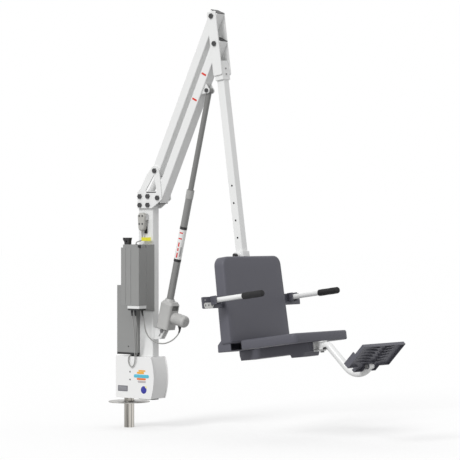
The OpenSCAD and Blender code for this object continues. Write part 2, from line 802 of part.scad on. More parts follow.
// Linear actuator
module ram_case() {
    half = case_w / 2;
    color("lightgray") ram_frame() difference() {
        union() {
            eye(13.5, eye_w, foot_pin_d + 2 * run_fit);
            translate([-11, -eye_w / 2, 8]) cube([22, eye_w, case_z - 7]);
            translate([case_shift, 0, case_z]) linear_extrude(case_h - 16) rounded(case_w, case_w, 14);
            translate([case_shift, 0, case_z + case_h - 16]) hull() {
                linear_extrude(1) rounded(case_w, case_w, 14);
                translate([0, 0, 15]) linear_extrude(1) rounded(case_w - 18, case_w - 18, 10);
            }
            translate([0, 0, case_z + case_h - 2]) cylinder(d1 = 60, d2 = 46, h = 14);
            translate([half, drum_y, case_z + drum_z]) rotate([0, 90, 0]) cylinder(r = 31, h = 26);
        }
        across(foot_pin_d + 2 * run_fit, eye_w + 2);
        translate([0, 0, 140]) cylinder(d = ram_tube_d, h = 60);
        translate([half + case_shift + 2.5, 0, case_z + 118]) cube([8, 46, 26], center = true);
    }
}
module ram_motor() {
    color("lightgray") ram_frame() translate([case_w / 2 + 26, drum_y, case_z + drum_z])
        rotate([0, 90, 0]) {
        cylinder(r = 32, h = 56);
        translate([0, 0, 56]) cylinder(r1 = 32, r2 = 24, h = 12);
    }
    color("black") translate(ram_gland) {
        cylinder(d = 13, h = 9);
        translate([0, 0, 9]) cylinder(d = 19, h = 14);
    }
}
module ram_tube() {
    color("gray") ram_frame() difference() {
        union() {
            translate([0, 0, 140]) cylinder(d = ram_tube_d, h = ram_top - 140);
            translate([0, 0, ram_top - ring_h]) cylinder(d = ring_d, h = ring_h);
            for (z = [379, 553]) translate([0, 0, z]) cylinder(d = ram_tube_d + 1.6, h = 14);
        }
        translate([0, 0, 200]) cylinder(d = ram_bore, h = ram_top);
    }
}
module ram_rod() {
    color("gray") ram_frame() difference() {
        union() {
            translate([0, 0, ram_span - rod_tail]) cylinder(d = rod_d, h = rod_tail - 12);
            translate([0, 0, ram_span]) across(30, 32);
        }
        translate([0, 0, ram_span]) across(pin_d + 2 * run_fit, 40);
        translate([0, 0, ram_span - rod_tail - 1]) cylinder(d = rod_d - 8, h = 560);
    }
}

// Seat carriage, back and pan
module seat_carriage() {
    half = carriage_w / 2;
    color("whitesmoke") link_frame() difference() {
        union() {
            translate([0, 0, carriage_foot]) linear_extrude(carriage_top - carriage_foot)
                rounded(carriage_w, carriage_w, 4);
            translate([half - 1, -25.4, bracket_foot + 8]) cube([spine_front - half + 1, 50.8, rail_h]);
            for (z = [-1180, -1480]) translate([half - 1, -22, z])
                cube([back_front - skin - half + 1, 44, 30]);
            translate([0, -half - 6, lock_z]) across(22, 14);
        }
        translate([0, 0, carriage_foot - 1]) linear_extrude(carriage_top - carriage_foot + 2)
            square(carriage_in, center = true);
        translate([half + 8, -25.4 + 3, bracket_foot + 11]) cube([spine_front, 44.8, rail_h - 6]);
        translate([0, -half, lock_z]) across(10.2, 40);
    }
}
module lock_knob() {
    half = seat_tube_w / 2 + gap;
    color("black") link_frame() translate([0, 0, lock_z]) {
        translate([0, -half - 20, 0]) across(10, 40);
        translate([0, -half - 36, 0]) across(20, 16);
        translate([0, -half - 27, 0]) across(14, 4);
    }
}
module back_face(shrink) {
    top = back_w_top / 2 - shrink;
    foot = back_w_foot / 2 - shrink;
    r = 48 - shrink;
    polygon([[-foot, back_foot + shrink], [foot, back_foot + shrink], [top, back_top - r - shrink],
        [top - r, back_top - shrink], [r - top, back_top - shrink], [-top, back_top - r - shrink]]);
    for (s = [-1, 1]) translate([s * (top - r), back_top - r - shrink]) circle(r = r);
}
module back_slab(x0, depth, shrink) {
    translate([x0, 0, 0]) rotate([90, 0, 90]) linear_extrude(depth) back_face(shrink);
}
module backrest() {
    half = carriage_w / 2 + 0.4;
    color("dimgray") link_frame() difference() {
        union() {
            back_slab(back_rear, back_front - back_rear, 0);
            side_plate(-back_w_foot / 2 + 10, back_w_foot - 20) polygon([[-32, base_top], [44, base_top],
                [44, back_foot + 2], [back_front, back_foot + 2], [back_front, back_foot + 30],
                [back_rear, back_foot + 30], [-6, back_foot + 16], [-30, back_foot]]);
        }
        for (s = [-1, 1]) side_plate(s > 0 ? 38 : 16 - back_w_foot / 2, back_w_foot / 2 - 54) polygon([
            [-26, base_top + 6], [38, base_top + 6], [38, back_foot + 12], [4, back_foot + 12],
                [-24, back_foot - 4]]);
        back_slab(back_rear - 30, back_front - skin - back_rear + 30, skin + 2);
        translate([-100, -half, base_top - 1]) cube([100 + half, 2 * half, 120]);
        translate([-100, -half, back_top - 20]) cube([100 + half, 2 * half, 40]);
        translate([carriage_w / 2 - 0.2, -300, bar_z - bar_h / 2 - 0.5])
            cube([bar_t + 0.7, 600, bar_h + 1]);
    }
}
module seat_pan() {
    side_r = 14;
    color("dimgray") link_frame() difference() {
        translate([pan_x, 0, pan_top - pan_t]) union() {
            translate([pan_d / 2, 0, 0]) linear_extrude(pan_t - 6) rounded(pan_d, pan_w, side_r);
            translate([pan_d / 2, 0, pan_t - 6]) linear_extrude(6) rounded(pan_d - 6, pan_w - 6, side_r);
        }
        translate([pan_x + 30, -pan_w / 2 + 34, pan_top - 4]) cube([pan_d - 60, pan_w - 68, 10]);
        for (y = [-150, -50, 50, 150]) translate([pan_x + 60, y - 8, pan_top - 20])
            cube([pan_d - 130, 16, 30]);
    }
}
module seat_base() {
    half = carriage_w / 2 + 0.4;
    color("dimgray") link_frame() difference() {
        side_plate(-spine_w / 2, spine_w)
            polygon([[base_rear, base_top], [base_rear, base_top - 22], [-30, bracket_foot],
            [285, bracket_foot], [294, bracket_foot - 18], [366, bracket_foot - 18],
                [376, bracket_foot + 2],
            [spine_front, bracket_foot + 2], [spine_front, base_top]]);
        translate([-half, -half, bracket_foot - 2]) cube([2 * half, 2 * half, 60]);
        translate([half - 1, -25.7, bracket_foot + 7.7]) cube([spine_front, 51.4, 60]);
        translate([half + 10, 5 - spine_w / 2, base_top - 34])
            cube([spine_front - half - 16, spine_w - 10, 60]);
    }
}

// Armrests
module armrest_bar() {
    half = carriage_w / 2;
    color("dimgray") link_frame() difference() {
        translate([half, 0, bar_z]) rotate([90, 0, 90]) linear_extrude(bar_t) rounded(bar_len, bar_h, 6);
        for (s = [-1, 1]) translate([half - 1, s * (bar_len / 2 - 18), bar_z + 12]) rotate([0, 90, 0])
            cylinder(d = 9, h = bar_t + 2);
    }
    color("dimgray") link_frame() for (s = [-1, 1]) {
        translate([half + bar_t - 1, s * armrest_gap / 2, bar_z + 9]) difference() {
            union() for (t = [-1, 1]) side_plate(t * 19 - 3, 6) translate([1, -22]) square([34, 44]);
            translate([18, 0, 0]) across(8.1, 60);
        }
        translate([half + bar_t + 17, s * armrest_gap / 2, bar_z + 9]) across(8, 50);
        translate([half, s * (bar_len / 2 - 18), bar_z + 12]) rotate([0, 90, 0])
            cylinder(d = 9 - slip_fit, h = bar_t + 3);
    }
}
module armrest(side) {
    pivot_x = carriage_w / 2 + bar_t + 17;
    color("white") link_frame() translate([pivot_x, side * armrest_gap / 2, bar_z + 9]) difference() {
        union() {
            across(26, 31.4);
            rotate([0, 90, 0]) cylinder(d = armrest_d, h = armrest_len - grip_len + 2);
        }
        across(8 + 2 * run_fit, 40);
    }
}
module grip(side) {
    pivot_x = carriage_w / 2 + bar_t + 17;
    color("black") link_frame()
        translate([pivot_x + armrest_len - grip_len, side * armrest_gap / 2, bar_z + 9])
        rotate([0, 90, 0]) {
            difference() {
                cylinder(d = grip_d, h = 22);
                translate([0, 0, -1]) cylinder(d = armrest_d, h = 3);
            }
            translate([0, 0, 22]) cylinder(d = grip_d, h = grip_len - 22 - grip_d / 4);
            translate([0, 0, grip_len - grip_d / 4])
                cylinder(d1 = grip_d, d2 = grip_d * 0.6, h = grip_d / 4);
        }
}
module left_armrest() {
    armrest(1);
}
module left_grip() {
    grip(1);
}
module right_armrest() {
    armrest(-1);
}
module right_grip() {
    grip(-1);
}

// Footrest
module bracket_tongue(w) {
    translate([spine_front, -w / 2]) square([swing_x - spine_front, w]);
    translate([swing_x, 0]) circle(d = w);
}
module footrest_bracket() {
    color("white") link_frame() difference() {
        union() {
            translate([spine_front, -bracket_w / 2, bracket_foot])
                cube([bracket_t, bracket_w, base_top - bracket_foot]);
            translate([0, 0, base_top - bracket_t]) linear_extrude(bracket_t) bracket_tongue(bracket_w);
            translate([0, 0, bracket_foot]) linear_extrude(bracket_t) bracket_tongue(bracket_lip);
        }
        translate([swing_x, 0, bracket_foot - 1]) cylinder(d = swing_pin_d + slip_fit, h = 100);
    }
    color("dimgray") link_frame() translate([swing_x, 0, bracket_foot - 8]) {
        cylinder(d = swing_pin_d, h = base_top - bracket_foot + 8);
        cylinder(d = 21, h = 8, $fn = 6);
    }
}
// Bend of the tube in the XZ plane, from the angle a0 for a turn
module tube_bend(r, a0, turn) {
    rotate([90, 0, 0]) rotate([0, 0, a0]) rotate_extrude(angle = turn) translate([r, 0])
        circle(d = foot_tube_d + weld_step);
}
module footrest_tube() {
    clear_top = base_top - bracket_t - 0.4;
    clear_foot = bracket_foot + bracket_t + 0.4;
    color("white") link_frame() translate([swing_x, 0, swing_z]) {
        difference() {
            union() {
                translate([0, 0, clear_foot - swing_z]) cylinder(d = 40, h = clear_top - clear_foot);
                rotate([0, 90, 0]) cylinder(d = foot_tube_d, h = foot_start + 1);
                translate([6, plunger_y, plunger_z - swing_z - 4]) cube([14, -plunger_y - 10, 8]);
                translate([4, plunger_y, plunger_z - swing_z]) rotate([0, 90, 0]) cylinder(d = 11, h = 22);
            }
            translate([0, 0, clear_foot - swing_z - 1]) cylinder(d = swing_pin_d + 2 * run_fit, h = 60);
            translate([0, plunger_y, plunger_z - swing_z]) rotate([0, 90, 0])
                cylinder(d = plunger_d + slip_fit, h = 60);
        }
        translate([foot_start, 0, -foot_bend_r]) tube_bend(foot_bend_r, 90 - foot_drop, foot_drop);
        translate([run_x, 0, run_z]) rotate([0, 90 + foot_drop, 0]) translate([0, 0, -1])
            cylinder(d = foot_tube_d, h = foot_run + 2);
        translate([lift_x, 0, lift_z]) tube_bend(foot_lift_r, -90 - foot_drop, foot_lift);
        translate([hinge_x, 0, hinge_z]) rotate([0, -foot_rise, 0]) difference() {
            union() {
                across(26, hub_w);
                translate([-hinge_run - 2, -16, -10]) cube([hinge_run + 2, 32, 20]);
            }
            across(hinge_d + 2 * run_fit, hub_w + 2);
        }
    }
}
module footrest_plunger() {
    color("dimgray") link_frame() translate([swing_x, plunger_y, plunger_z]) rotate([0, 90, 0]) {
        translate([0, 0, spine_front + bracket_t - swing_x + 0.4]) cylinder(d = plunger_d, h = 58);
    }
    color("black") link_frame() translate([swing_x, plunger_y, plunger_z]) rotate([0, 90, 0])
        translate([0, 0, 28]) cylinder(d = 11, h = 14);
}
module plate_frame() {
    link_frame() translate([swing_x + hinge_x, 0, swing_z + hinge_z]) rotate([0, -foot_rise, 0])
        children();
}
module footplate_outline(inset) {
    half = footplate_w / 2 - inset;
    difference() {
        union() {
            translate([-6 + inset, -half]) square([footplate_l - 2 * inset, 2 * half]);
            translate([-footplate_lobe + inset, inset - 92]) square([60, 184 - 2 * inset]);
        }
        translate([-footplate_lobe - 1, -22 - inset])
            square([footplate_lobe + 15 + inset, 44 + 2 * inset]);
    }
}
module footplate() {
    rim_t = 4;
    rim_z = footplate_seat - 12;
    rib_step = (footplate_l - 25) / footplate_ribs;
    color("dimgray") plate_frame() difference() {
        union() {
            translate([0, 0, footplate_seat]) linear_extrude(footplate_t) footplate_outline(0);
            translate([0, 0, rim_z]) linear_extrude(13) difference() {
                footplate_outline(0);
                footplate_outline(rim_t);
            }
            for (s = [0, 1]) side_plate(s * (footplate_w - lip_t) - footplate_w / 2, lip_t)
                translate([-6, footplate_seat]) square([80, 20]);
            for (s = [0, 1]) side_plate(s ? ear_gap : -ear_gap - ear_plate_t, ear_plate_t) {
                circle(r = 13);
                translate([-6, 0]) square([26, footplate_seat + 1]);
            }
            for (k = [0:footplate_ribs - 1]) translate([20 + k * rib_step, 0, 0]) rotate([90, 0, 90])
                linear_extrude(rim_t) for (s = [-1, 1]) polygon([[s * 24, rim_z], [s * 45, rim_z],
                    [s * 140, footplate_seat + 1], [s * 24, footplate_seat + 1]]);
        }
        across(hinge_d + slip_fit, 200);
    }
    color("gray") plate_frame() {
        across(hinge_d, 2 * (ear_gap + ear_plate_t + 5));
        for (s = [-1, 1]) translate([0, s * (ear_gap + ear_plate_t + 2.8), 0]) across(17, 5);
    }
}

// Handset, its hook and its buttons
module handset() {
    face = handset_back - handset_t;
    color("lightgray") difference() {
        union() {
            translate([handset_x, handset_back, handset_z]) rotate([90, 0, 0]) hull() {
                linear_extrude(handset_t - 3) handset_outline();
                linear_extrude(handset_t) offset(delta = -3) handset_outline();
            }
            translate([handset_x, handset_cord_y, cord_top]) cylinder(d1 = 8, d2 = 14, h = 40);
        }
        for (p = buttons) translate([handset_x + p[0], face - 1, handset_z + p[1]]) rotate([-90, 0, 0])
            cylinder(d = button_d + 2 * gap, h = 4);
        translate([handset_x, handset_back + 1, stud_z]) rotate([90, 0, 0]) linear_extrude(8)
            key_slot(8 + 2 * gap);
        translate([handset_x, handset_back - 2, stud_z]) rotate([90, 0, 0]) linear_extrude(4)
            key_slot(stud_head + 4 * gap);
    }
}
module handset_outline() {
    polygon([[-22, 40], [-12, 50], [12, 50], [22, 40], [17, -36], [8, -46], [-8, -46], [-17, -36]]);
    for (s = [-1, 1]) {
        translate([s * 12, 40]) circle(r = 10);
        translate([s * 8, -37]) circle(r = 9);
    }
}
module key_slot(slot_w) {
    circle(d = slot_w);
    translate([-slot_w / 2, -stud_drop]) square([slot_w, stud_drop]);
    translate([0, -stud_drop]) circle(d = stud_head + 4 * gap);
}
module handset_hook() {
    plate_y = -mast_w / 2;
    color("silver") {
        translate([handset_x, plate_y, stud_z]) rotate([90, 0, 0]) linear_extrude(3) rounded(54, 40, 6);
        translate([handset_x, plate_y, stud_z]) rotate([90, 0, 0])
            cylinder(d = 8, h = plate_y - handset_back + 3);
        translate([handset_x, handset_back - 2.4, stud_z]) rotate([90, 0, 0])
            cylinder(d = stud_head, h = 2.6);
        translate([handset_x + 23, handset_back - 13, stud_z - 14])
            cube([5, plate_y - handset_back + 11, 28]);
    }
}
module button(k) {
    color("gray") translate([handset_x + buttons[k][0], handset_back - handset_t - 2,
        handset_z + buttons[k][1]])
        rotate([-90, 0, 0]) cylinder(d = button_d, h = 3.6);
}
module button_up() {
    button(0);
}
module button_down() {
    button(2);
}
module button_left() {
    button(1);
}
module button_right() {
    button(3);
}

// Cables
module ram_cable() {
    color("gray") swept(ram_route, ram_cable_d, 2);
}
module slew_cable() {
    color("gray") swept(slew_route, slew_cable_d, 1);
}
module brake_cable() {
    color("gray") swept(brake_route, brake_cable_d, 1);
}
module hand_cable() {
    color("gray") swept(hand_route, hand_cable_d, 1);
}

anchor_post();
deck_flange();
post_collar();
slew_gear();
base_frame();
post_bushes();
slew_motor();
slew_pinion();
drive_cover();
mast_fasteners();
mast_tube();
mast_caps();
slew_housing();
housing_trim();
controller_box();
controller_bracket();
battery_tray();
battery_pack();
battery_handle();
knee_plates();
knee_pins();
ram_bracket();
ram_foot_pin();
lower_arm();
lower_arm_fittings();
clevis_pin();
upper_arm();
upper_arm_fittings();
link_plates();
link_pins();
post_sleeve();
seat_tube();
ram_case();
ram_motor();
ram_tube();
ram_rod();
seat_carriage();
lock_knob();
backrest();
seat_pan();
seat_base();
armrest_bar();
left_armrest();
left_grip();
right_armrest();
right_grip();
footrest_bracket();
footrest_tube();
footrest_plunger();
footplate();
handset();
handset_hook();
button_up();
button_down();
button_left();
button_right();
ram_cable();
slew_cable();
brake_cable();
hand_cable();
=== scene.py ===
"""Looks of the pool patient lift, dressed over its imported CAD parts. Metres, X forward, Y away, Z up."""

import json
import math

import bmesh
import bpy
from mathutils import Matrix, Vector

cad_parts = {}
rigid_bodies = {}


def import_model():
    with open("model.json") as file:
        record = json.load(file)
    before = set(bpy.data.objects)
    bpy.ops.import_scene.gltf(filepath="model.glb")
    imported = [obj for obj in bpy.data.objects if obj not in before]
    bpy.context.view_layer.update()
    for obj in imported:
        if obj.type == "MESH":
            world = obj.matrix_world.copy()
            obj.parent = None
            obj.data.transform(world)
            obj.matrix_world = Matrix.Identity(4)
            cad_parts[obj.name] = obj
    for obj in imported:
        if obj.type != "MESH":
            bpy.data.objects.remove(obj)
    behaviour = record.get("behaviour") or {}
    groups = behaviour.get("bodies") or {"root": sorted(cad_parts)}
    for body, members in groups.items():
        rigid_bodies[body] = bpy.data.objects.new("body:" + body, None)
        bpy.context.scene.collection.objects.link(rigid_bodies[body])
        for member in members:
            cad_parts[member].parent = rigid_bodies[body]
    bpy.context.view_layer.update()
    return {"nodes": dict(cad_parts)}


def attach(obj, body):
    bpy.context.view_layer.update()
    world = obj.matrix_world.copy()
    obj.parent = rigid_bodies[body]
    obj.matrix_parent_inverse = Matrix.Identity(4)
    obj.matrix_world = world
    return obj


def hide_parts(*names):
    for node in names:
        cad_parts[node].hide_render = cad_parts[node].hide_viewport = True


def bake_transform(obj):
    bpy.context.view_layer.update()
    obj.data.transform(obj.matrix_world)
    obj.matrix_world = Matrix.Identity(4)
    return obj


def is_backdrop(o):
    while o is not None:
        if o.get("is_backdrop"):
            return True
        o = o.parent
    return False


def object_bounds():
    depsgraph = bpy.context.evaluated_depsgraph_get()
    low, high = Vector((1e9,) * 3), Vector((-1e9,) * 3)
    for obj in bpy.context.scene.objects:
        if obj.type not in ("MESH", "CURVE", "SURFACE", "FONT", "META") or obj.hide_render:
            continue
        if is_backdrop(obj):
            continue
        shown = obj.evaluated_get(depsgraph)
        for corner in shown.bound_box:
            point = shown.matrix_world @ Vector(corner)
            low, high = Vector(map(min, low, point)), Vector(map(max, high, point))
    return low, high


for leftover in list(bpy.data.objects):
    bpy.data.objects.remove(leftover)
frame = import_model()


# Camera
# The photograph is taken level with the middle of the mast, from the front left
# corner and from far away, so the lift shows with almost no perspective.
camera_data = bpy.data.cameras.new("camera")
camera_data.lens = 156.52
camera_data.sensor_width = 36
camera_data.clip_end = 100
camera = bpy.data.objects.new("camera", camera_data)
camera.location = (7.18625, -8.0134, 0.9235)
camera.rotation_euler = (math.radians(90), 0, math.radians(39))
bpy.context.scene.collection.objects.link(camera)
bpy.context.scene.camera = camera


# Studio
# A white room with one large soft lamp above and to the left of the camera, and
# a pale floor that the deck post stands on and that keeps the lift's shadow.
fill_level = 0.74
key_level = 1.45
key_from = Vector((0.05, -0.8, 0.6))
key_spread = 20
floor_z = -0.1355
floor_reach = 60
floor_grey = (0.42, 0.42, 0.42, 1)
floor_white = (0.98, 0.98, 0.98, 1)
floor_share = 0.5

key_data = bpy.data.lights.new("key", "SUN")
key_data.energy = key_level
key_data.angle = math.radians(key_spread)
key = bpy.data.objects.new("key", key_data)
key.rotation_mode = "QUATERNION"
key.rotation_quaternion = key_from.to_track_quat("Z", "Y")
bpy.context.scene.collection.objects.link(key)


def add_node(tree, kind, values=None, **settings):
    """A shader node with its settings. values are what its inputs get: plain values, or sockets to link."""
    node = tree.nodes.new(kind)
    for setting, value in settings.items():
        setattr(node, setting, value)
    for socket, value in (values or {}).items():
        if isinstance(value, bpy.types.NodeSocket):
            tree.links.new(value, node.inputs[socket])
        else:
            node.inputs[socket].default_value = value
    return node


def maths(tree, operation, first, second, **settings):
    """The result of a Math node on two numbers or sockets."""
    return add_node(tree, "ShaderNodeMath", {0: first, 1: second}, operation=operation, **settings).outputs[0]


def seen_ray(tree):
    """1 for rays that show the backdrop: the camera's, and those off metal or through glass."""
    path = add_node(tree, "ShaderNodeLightPath")
    either = maths(tree, "MAXIMUM", path.outputs["Is Camera Ray"], path.outputs["Is Glossy Ray"])
    return maths(tree, "MAXIMUM", either, path.outputs["Is Transmission Ray"])


bpy.context.scene.view_settings.view_transform = "Standard"
room = bpy.data.worlds.new("room")
bpy.context.scene.world = room
room.use_nodes = True
room_tree = room.node_tree
room_tree.nodes.clear()
white = (1, 1, 1, 1)
fill = add_node(room_tree, "ShaderNodeBackground", {"Color": white, "Strength": fill_level})
backdrop = add_node(room_tree, "ShaderNodeBackground", {"Color": white, "Strength": 1.0})
room_mix = add_node(room_tree, "ShaderNodeMixShader", {
    0: seen_ray(room_tree), 1: fill.outputs[0], 2: backdrop.outputs[0],
})
add_node(room_tree, "ShaderNodeOutputWorld", {0: room_mix.outputs[0]})

floor_mesh = bpy.data.meshes.new("studio_floor")
floor_mesh.from_pydata(
    [(x * floor_reach, y * floor_reach, floor_z) for x, y in ((-1, -1), (1, -1), (1, 1), (-1, 1))],
    [],
    [(0, 1, 2, 3)],
)
floor = bpy.data.objects.new("studio_floor", floor_mesh)
bpy.context.scene.collection.objects.link(floor)
floor_paint = bpy.data.materials.new("studio_floor")
floor_paint.use_nodes = True
floor_tree = floor_paint.node_tree
floor_tree.nodes.clear()
floor_seen = seen_ray(floor_tree)
# In a colour Mix node, input 0 is the share, and 6 and 7 are the two colours.
floor_tone = add_node(floor_tree, "ShaderNodeMix", {0: floor_seen, 6: floor_grey, 7: floor_white},
                      data_type="RGBA")
floor_matt = add_node(floor_tree, "ShaderNodeBsdfDiffuse", {"Color": floor_tone.outputs[2]})
floor_glow = add_node(floor_tree, "ShaderNodeEmission", {"Color": white, "Strength": 1.0})
floor_part = maths(floor_tree, "MULTIPLY", floor_seen, floor_share)
floor_mix = add_node(floor_tree, "ShaderNodeMixShader", {
    0: floor_part, 1: floor_matt.outputs[0], 2: floor_glow.outputs[0],
})
add_node(floor_tree, "ShaderNodeOutputMaterial", {0: floor_mix.outputs[0]})
floor_mesh.materials.append(floor_paint)
floor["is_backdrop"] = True


# Cables
# Four round cables in grey rubber, from the control boxes to the ram, to the
# slewing motor, to its brake and to the handset. Most ends sit in a black gland.
mm = 0.001
ram_route = [
    (352, 6, 400), (350, 4, 388), (344, 1, 374), (334, -4, 360), (318, -10, 345), (296, -18, 332),
    (270, -27, 324), (244, -36, 325), (220, -44, 333), (199, -52, 347), (185, -60, 366), (178, -68, 390),
    (176, -76, 420), (177, -84, 455), (178, -94, 482), (178, -96, 494),
]
slew_route = [
    (132, -126, 494), (132, -126, 482), (132, -121, 455), (130, -112, 425), (126, -102, 390),
    (121, -93, 350), (114, -84, 315), (109, -77, 285), (106, -73, 262), (104, -70, 240), (99, -68, 218),
    (90, -67, 202), (76, -66, 195), (62, -66, 203), (54, -66, 222), (55, -66, 242), (59, -62, 254),
    (62, -55, 256), (62, -50, 259.5),
]
brake_route = [
    (150, -120, 494), (150, -119, 482), (148, -112, 455), (144, -101, 425), (138, -90, 390),
    (130, -80, 350), (122, -72, 312), (114, -65, 284), (107, -59, 263), (101, -56, 256.2), (94, -51, 255.4),
    (90, -48, 259.5),
]
hand_route = [
    (134, -46, 884), (134, -46, 876), (132, -48, 870), (126, -52, 866), (118, -56, 863), (110, -60, 860),
    (106, -62, 855), (106, -62, 849),
]


def along_route(route, steps):
    """A smooth curve through a route's points, in millimetres."""
    points = [Vector(p) for p in route]
    curve = []
    for i in range(len(points) - 1):
        a, b = points[max(i - 1, 0)], points[i]
        c, d = points[i + 1], points[min(i + 2, len(points) - 1)]
        bend = 2 * a - 5 * b + 4 * c - d
        twist = 3 * b - a - 3 * c + d
        for k in range(steps):
            t = k / steps
            curve.append(0.5 * (2 * b + (c - a) * t + bend * t * t + twist * t**3))
    return curve + [points[-1]]


def mesh_piece(name, points, faces, material, smooth=35):
    """A mesh object from points in millimetres, with its faces turned outward and its sharp edges kept."""
    mesh = bpy.data.meshes.new(name)
    mesh.from_pydata([Vector(p) * mm for p in points], [], faces)
    shell = bmesh.new()
    shell.from_mesh(mesh)
    bmesh.ops.recalc_face_normals(shell, faces=shell.faces)
    shell.to_mesh(mesh)
    shell.free()
    mesh.shade_smooth()
    mesh.set_sharp_from_angle(angle=math.radians(smooth))
    mesh.materials.append(material)
    obj = bpy.data.objects.new(name, mesh)
    bpy.context.scene.collection.objects.link(obj)
    return obj


def loft(rings, closed=False):
    """Points and faces of a skin through rings of equal count, with flat ends unless it closes on itself."""
    count = len(rings[0])
    points = [p for ring in rings for p in ring]
    faces = []
    last = len(rings) if closed else len(rings) - 1
    for i in range(last):
        a, b = i * count, ((i + 1) % len(rings)) * count
        for k in range(count):
            faces.append((a + k, a + (k + 1) % count, b + (k + 1) % count, b + k))
    if not closed:
        faces += [tuple(range(count)), tuple(range(len(points) - count, len(points)))]
    return points, faces


def circle(radius, count):
    """Points (u, v) round a circle."""
    angles = [math.tau * k / count for k in range(count)]
    return [(radius * math.cos(angle), radius * math.sin(angle)) for angle in angles]


def hose(path, radii, sides=12, closed=False):
    """Points and faces of a round tube along a path, with a radius at each point."""
    rings = []
    side = None
    for i, here in enumerate(path):
        if closed:
            ahead, behind = path[(i + 1) % len(path)], path[i - 1]
        else:
            ahead, behind = path[min(i + 1, len(path) - 1)], path[max(i - 1, 0)]
        run = (ahead - behind).normalized()
        if side is None:
            side = run.cross(Vector((0.1, 1, 0.2))).normalized()
        side = (side - run * side.dot(run)).normalized()
        up = run.cross(side)
        rings.append([here + u * side + v * up for u, v in circle(radii[i], sides)])
    return loft(rings, closed)


def effect_group(name, inputs, outputs):
    """A shader node group with named inputs and outputs. Returns its tree, inner source and inner sink."""
    tree = bpy.data.node_groups.new(name, "ShaderNodeTree")
    for label, kind, value in inputs:
        socket = tree.interface.new_socket(label, in_out="INPUT", socket_type="NodeSocket" + kind)
        socket.default_value = value
    for label, kind in outputs:
        tree.interface.new_socket(label, in_out="OUTPUT", socket_type="NodeSocket" + kind)
    return tree, tree.nodes.new("NodeGroupInput"), tree.nodes.new("NodeGroupOutput")


def tone_variation():
    """Soft clouding of a colour and a roughness, as any real batch of paint or plastic has."""
    tree, source, sink = effect_group(
        "tone_variation",
        [("Colour", "Color", (0.5, 0.5, 0.5, 1)), ("Roughness", "Float", 0.5), ("Patch Size", "Float", 12.0),
         ("Amount", "Float", 0.06)],
        [("Colour", "Color"), ("Roughness", "Float")],
    )
    place = add_node(tree, "ShaderNodeTexCoord")
    cloud = add_node(tree, "ShaderNodeTexNoise", {
        "Vector": place.outputs["Object"], "Scale": source.outputs["Patch Size"],
        "Detail": 5.0, "Roughness": 0.6,
    })
    swing = maths(tree, "SUBTRACT", cloud.outputs["Fac"], 0.5)
    share = maths(tree, "MULTIPLY", swing, source.outputs["Amount"])
    bright = maths(tree, "ADD", 1.0, share)
    scaled = add_node(tree, "ShaderNodeVectorMath", {0: source.outputs["Colour"], "Scale": bright},
                      operation="SCALE")
    dull = maths(tree, "ADD", source.outputs["Roughness"], share, use_clamp=True)
    tree.links.new(scaled.outputs[0], sink.inputs["Colour"])
    tree.links.new(dull, sink.inputs["Roughness"])
    return tree


def surface_grain():
    """Fine bumps of one size over soft round edges, as a normal: mould grain, orange peel or foam."""
    tree, source, sink = effect_group(
        "surface_grain",
        [("Grain Size", "Float", 600.0), ("Depth", "Float", 0.15), ("Edge Radius", "Float", 0.001)],
        [("Normal", "Vector")],
    )
    place = add_node(tree, "ShaderNodeTexCoord")
    grain = add_node(tree, "ShaderNodeTexNoise", {
        "Vector": place.outputs["Object"], "Scale": source.outputs["Grain Size"],
        "Detail": 3.0, "Roughness": 0.55,
    })
    edge = add_node(tree, "ShaderNodeBevel", {"Radius": source.outputs["Edge Radius"]}, samples=4)
    bump = add_node(tree, "ShaderNodeBump", {
        "Height": grain.outputs["Fac"], "Strength": source.outputs["Depth"], "Distance": 0.0006,
        "Normal": edge.outputs[0],
    })
    tree.links.new(bump.outputs[0], sink.inputs["Normal"])
    return tree


def edge_wear():
    """A broken mask along outer edges, where handling rubs the finish."""
    tree, source, sink = effect_group(
        "edge_wear",
        [("Radius", "Float", 0.002), ("Amount", "Float", 0.5)],
        [("Mask", "Float")],
    )
    edge = add_node(tree, "ShaderNodeBevel", {"Radius": source.outputs["Radius"]}, samples=4)
    shape = add_node(tree, "ShaderNodeNewGeometry")
    match = add_node(tree, "ShaderNodeVectorMath", {0: edge.outputs[0], 1: shape.outputs["Normal"]},
                     operation="DOT_PRODUCT")
    turn = maths(tree, "SUBTRACT", 1.0, match.outputs["Value"])
    place = add_node(tree, "ShaderNodeTexCoord")
    broken = add_node(tree, "ShaderNodeTexNoise", {
        "Vector": place.outputs["Object"], "Scale": 90.0, "Detail": 6.0, "Roughness": 0.7,
    })
    rough = maths(tree, "MULTIPLY", turn, broken.outputs["Fac"])
    gain = maths(tree, "MULTIPLY", rough, 8.0, use_clamp=True)
    tree.links.new(maths(tree, "MULTIPLY", gain, source.outputs["Amount"]), sink.inputs["Mask"])
    return tree


tone_tree = tone_variation()
grain_tree = surface_grain()
wear_tree = edge_wear()


def within(tree, spans):
    """1 where a point of the piece at rest lies in every span (axis, low, high), 0 elsewhere."""
    place = add_node(tree, "ShaderNodeTexCoord")
    mask = None
    for axis, low, high in spans:
        reach = add_node(tree, "ShaderNodeVectorMath", {0: place.outputs["Object"], 1: axis},
                         operation="DOT_PRODUCT")
        above = maths(tree, "GREATER_THAN", reach.outputs["Value"], low * mm)
        below = maths(tree, "LESS_THAN", reach.outputs["Value"], high * mm)
        both = maths(tree, "MULTIPLY", above, below)
        mask = maths(tree, "MULTIPLY", mask, both) if mask else both
    return mask


def painted(tree, mask, under, over):
    """A colour that a plain one covers by a mask, all of it where the mask is 1."""
    return add_node(tree, "ShaderNodeMix", {0: mask, 6: under, 7: (*over, 1)}, data_type="RGBA").outputs[2]


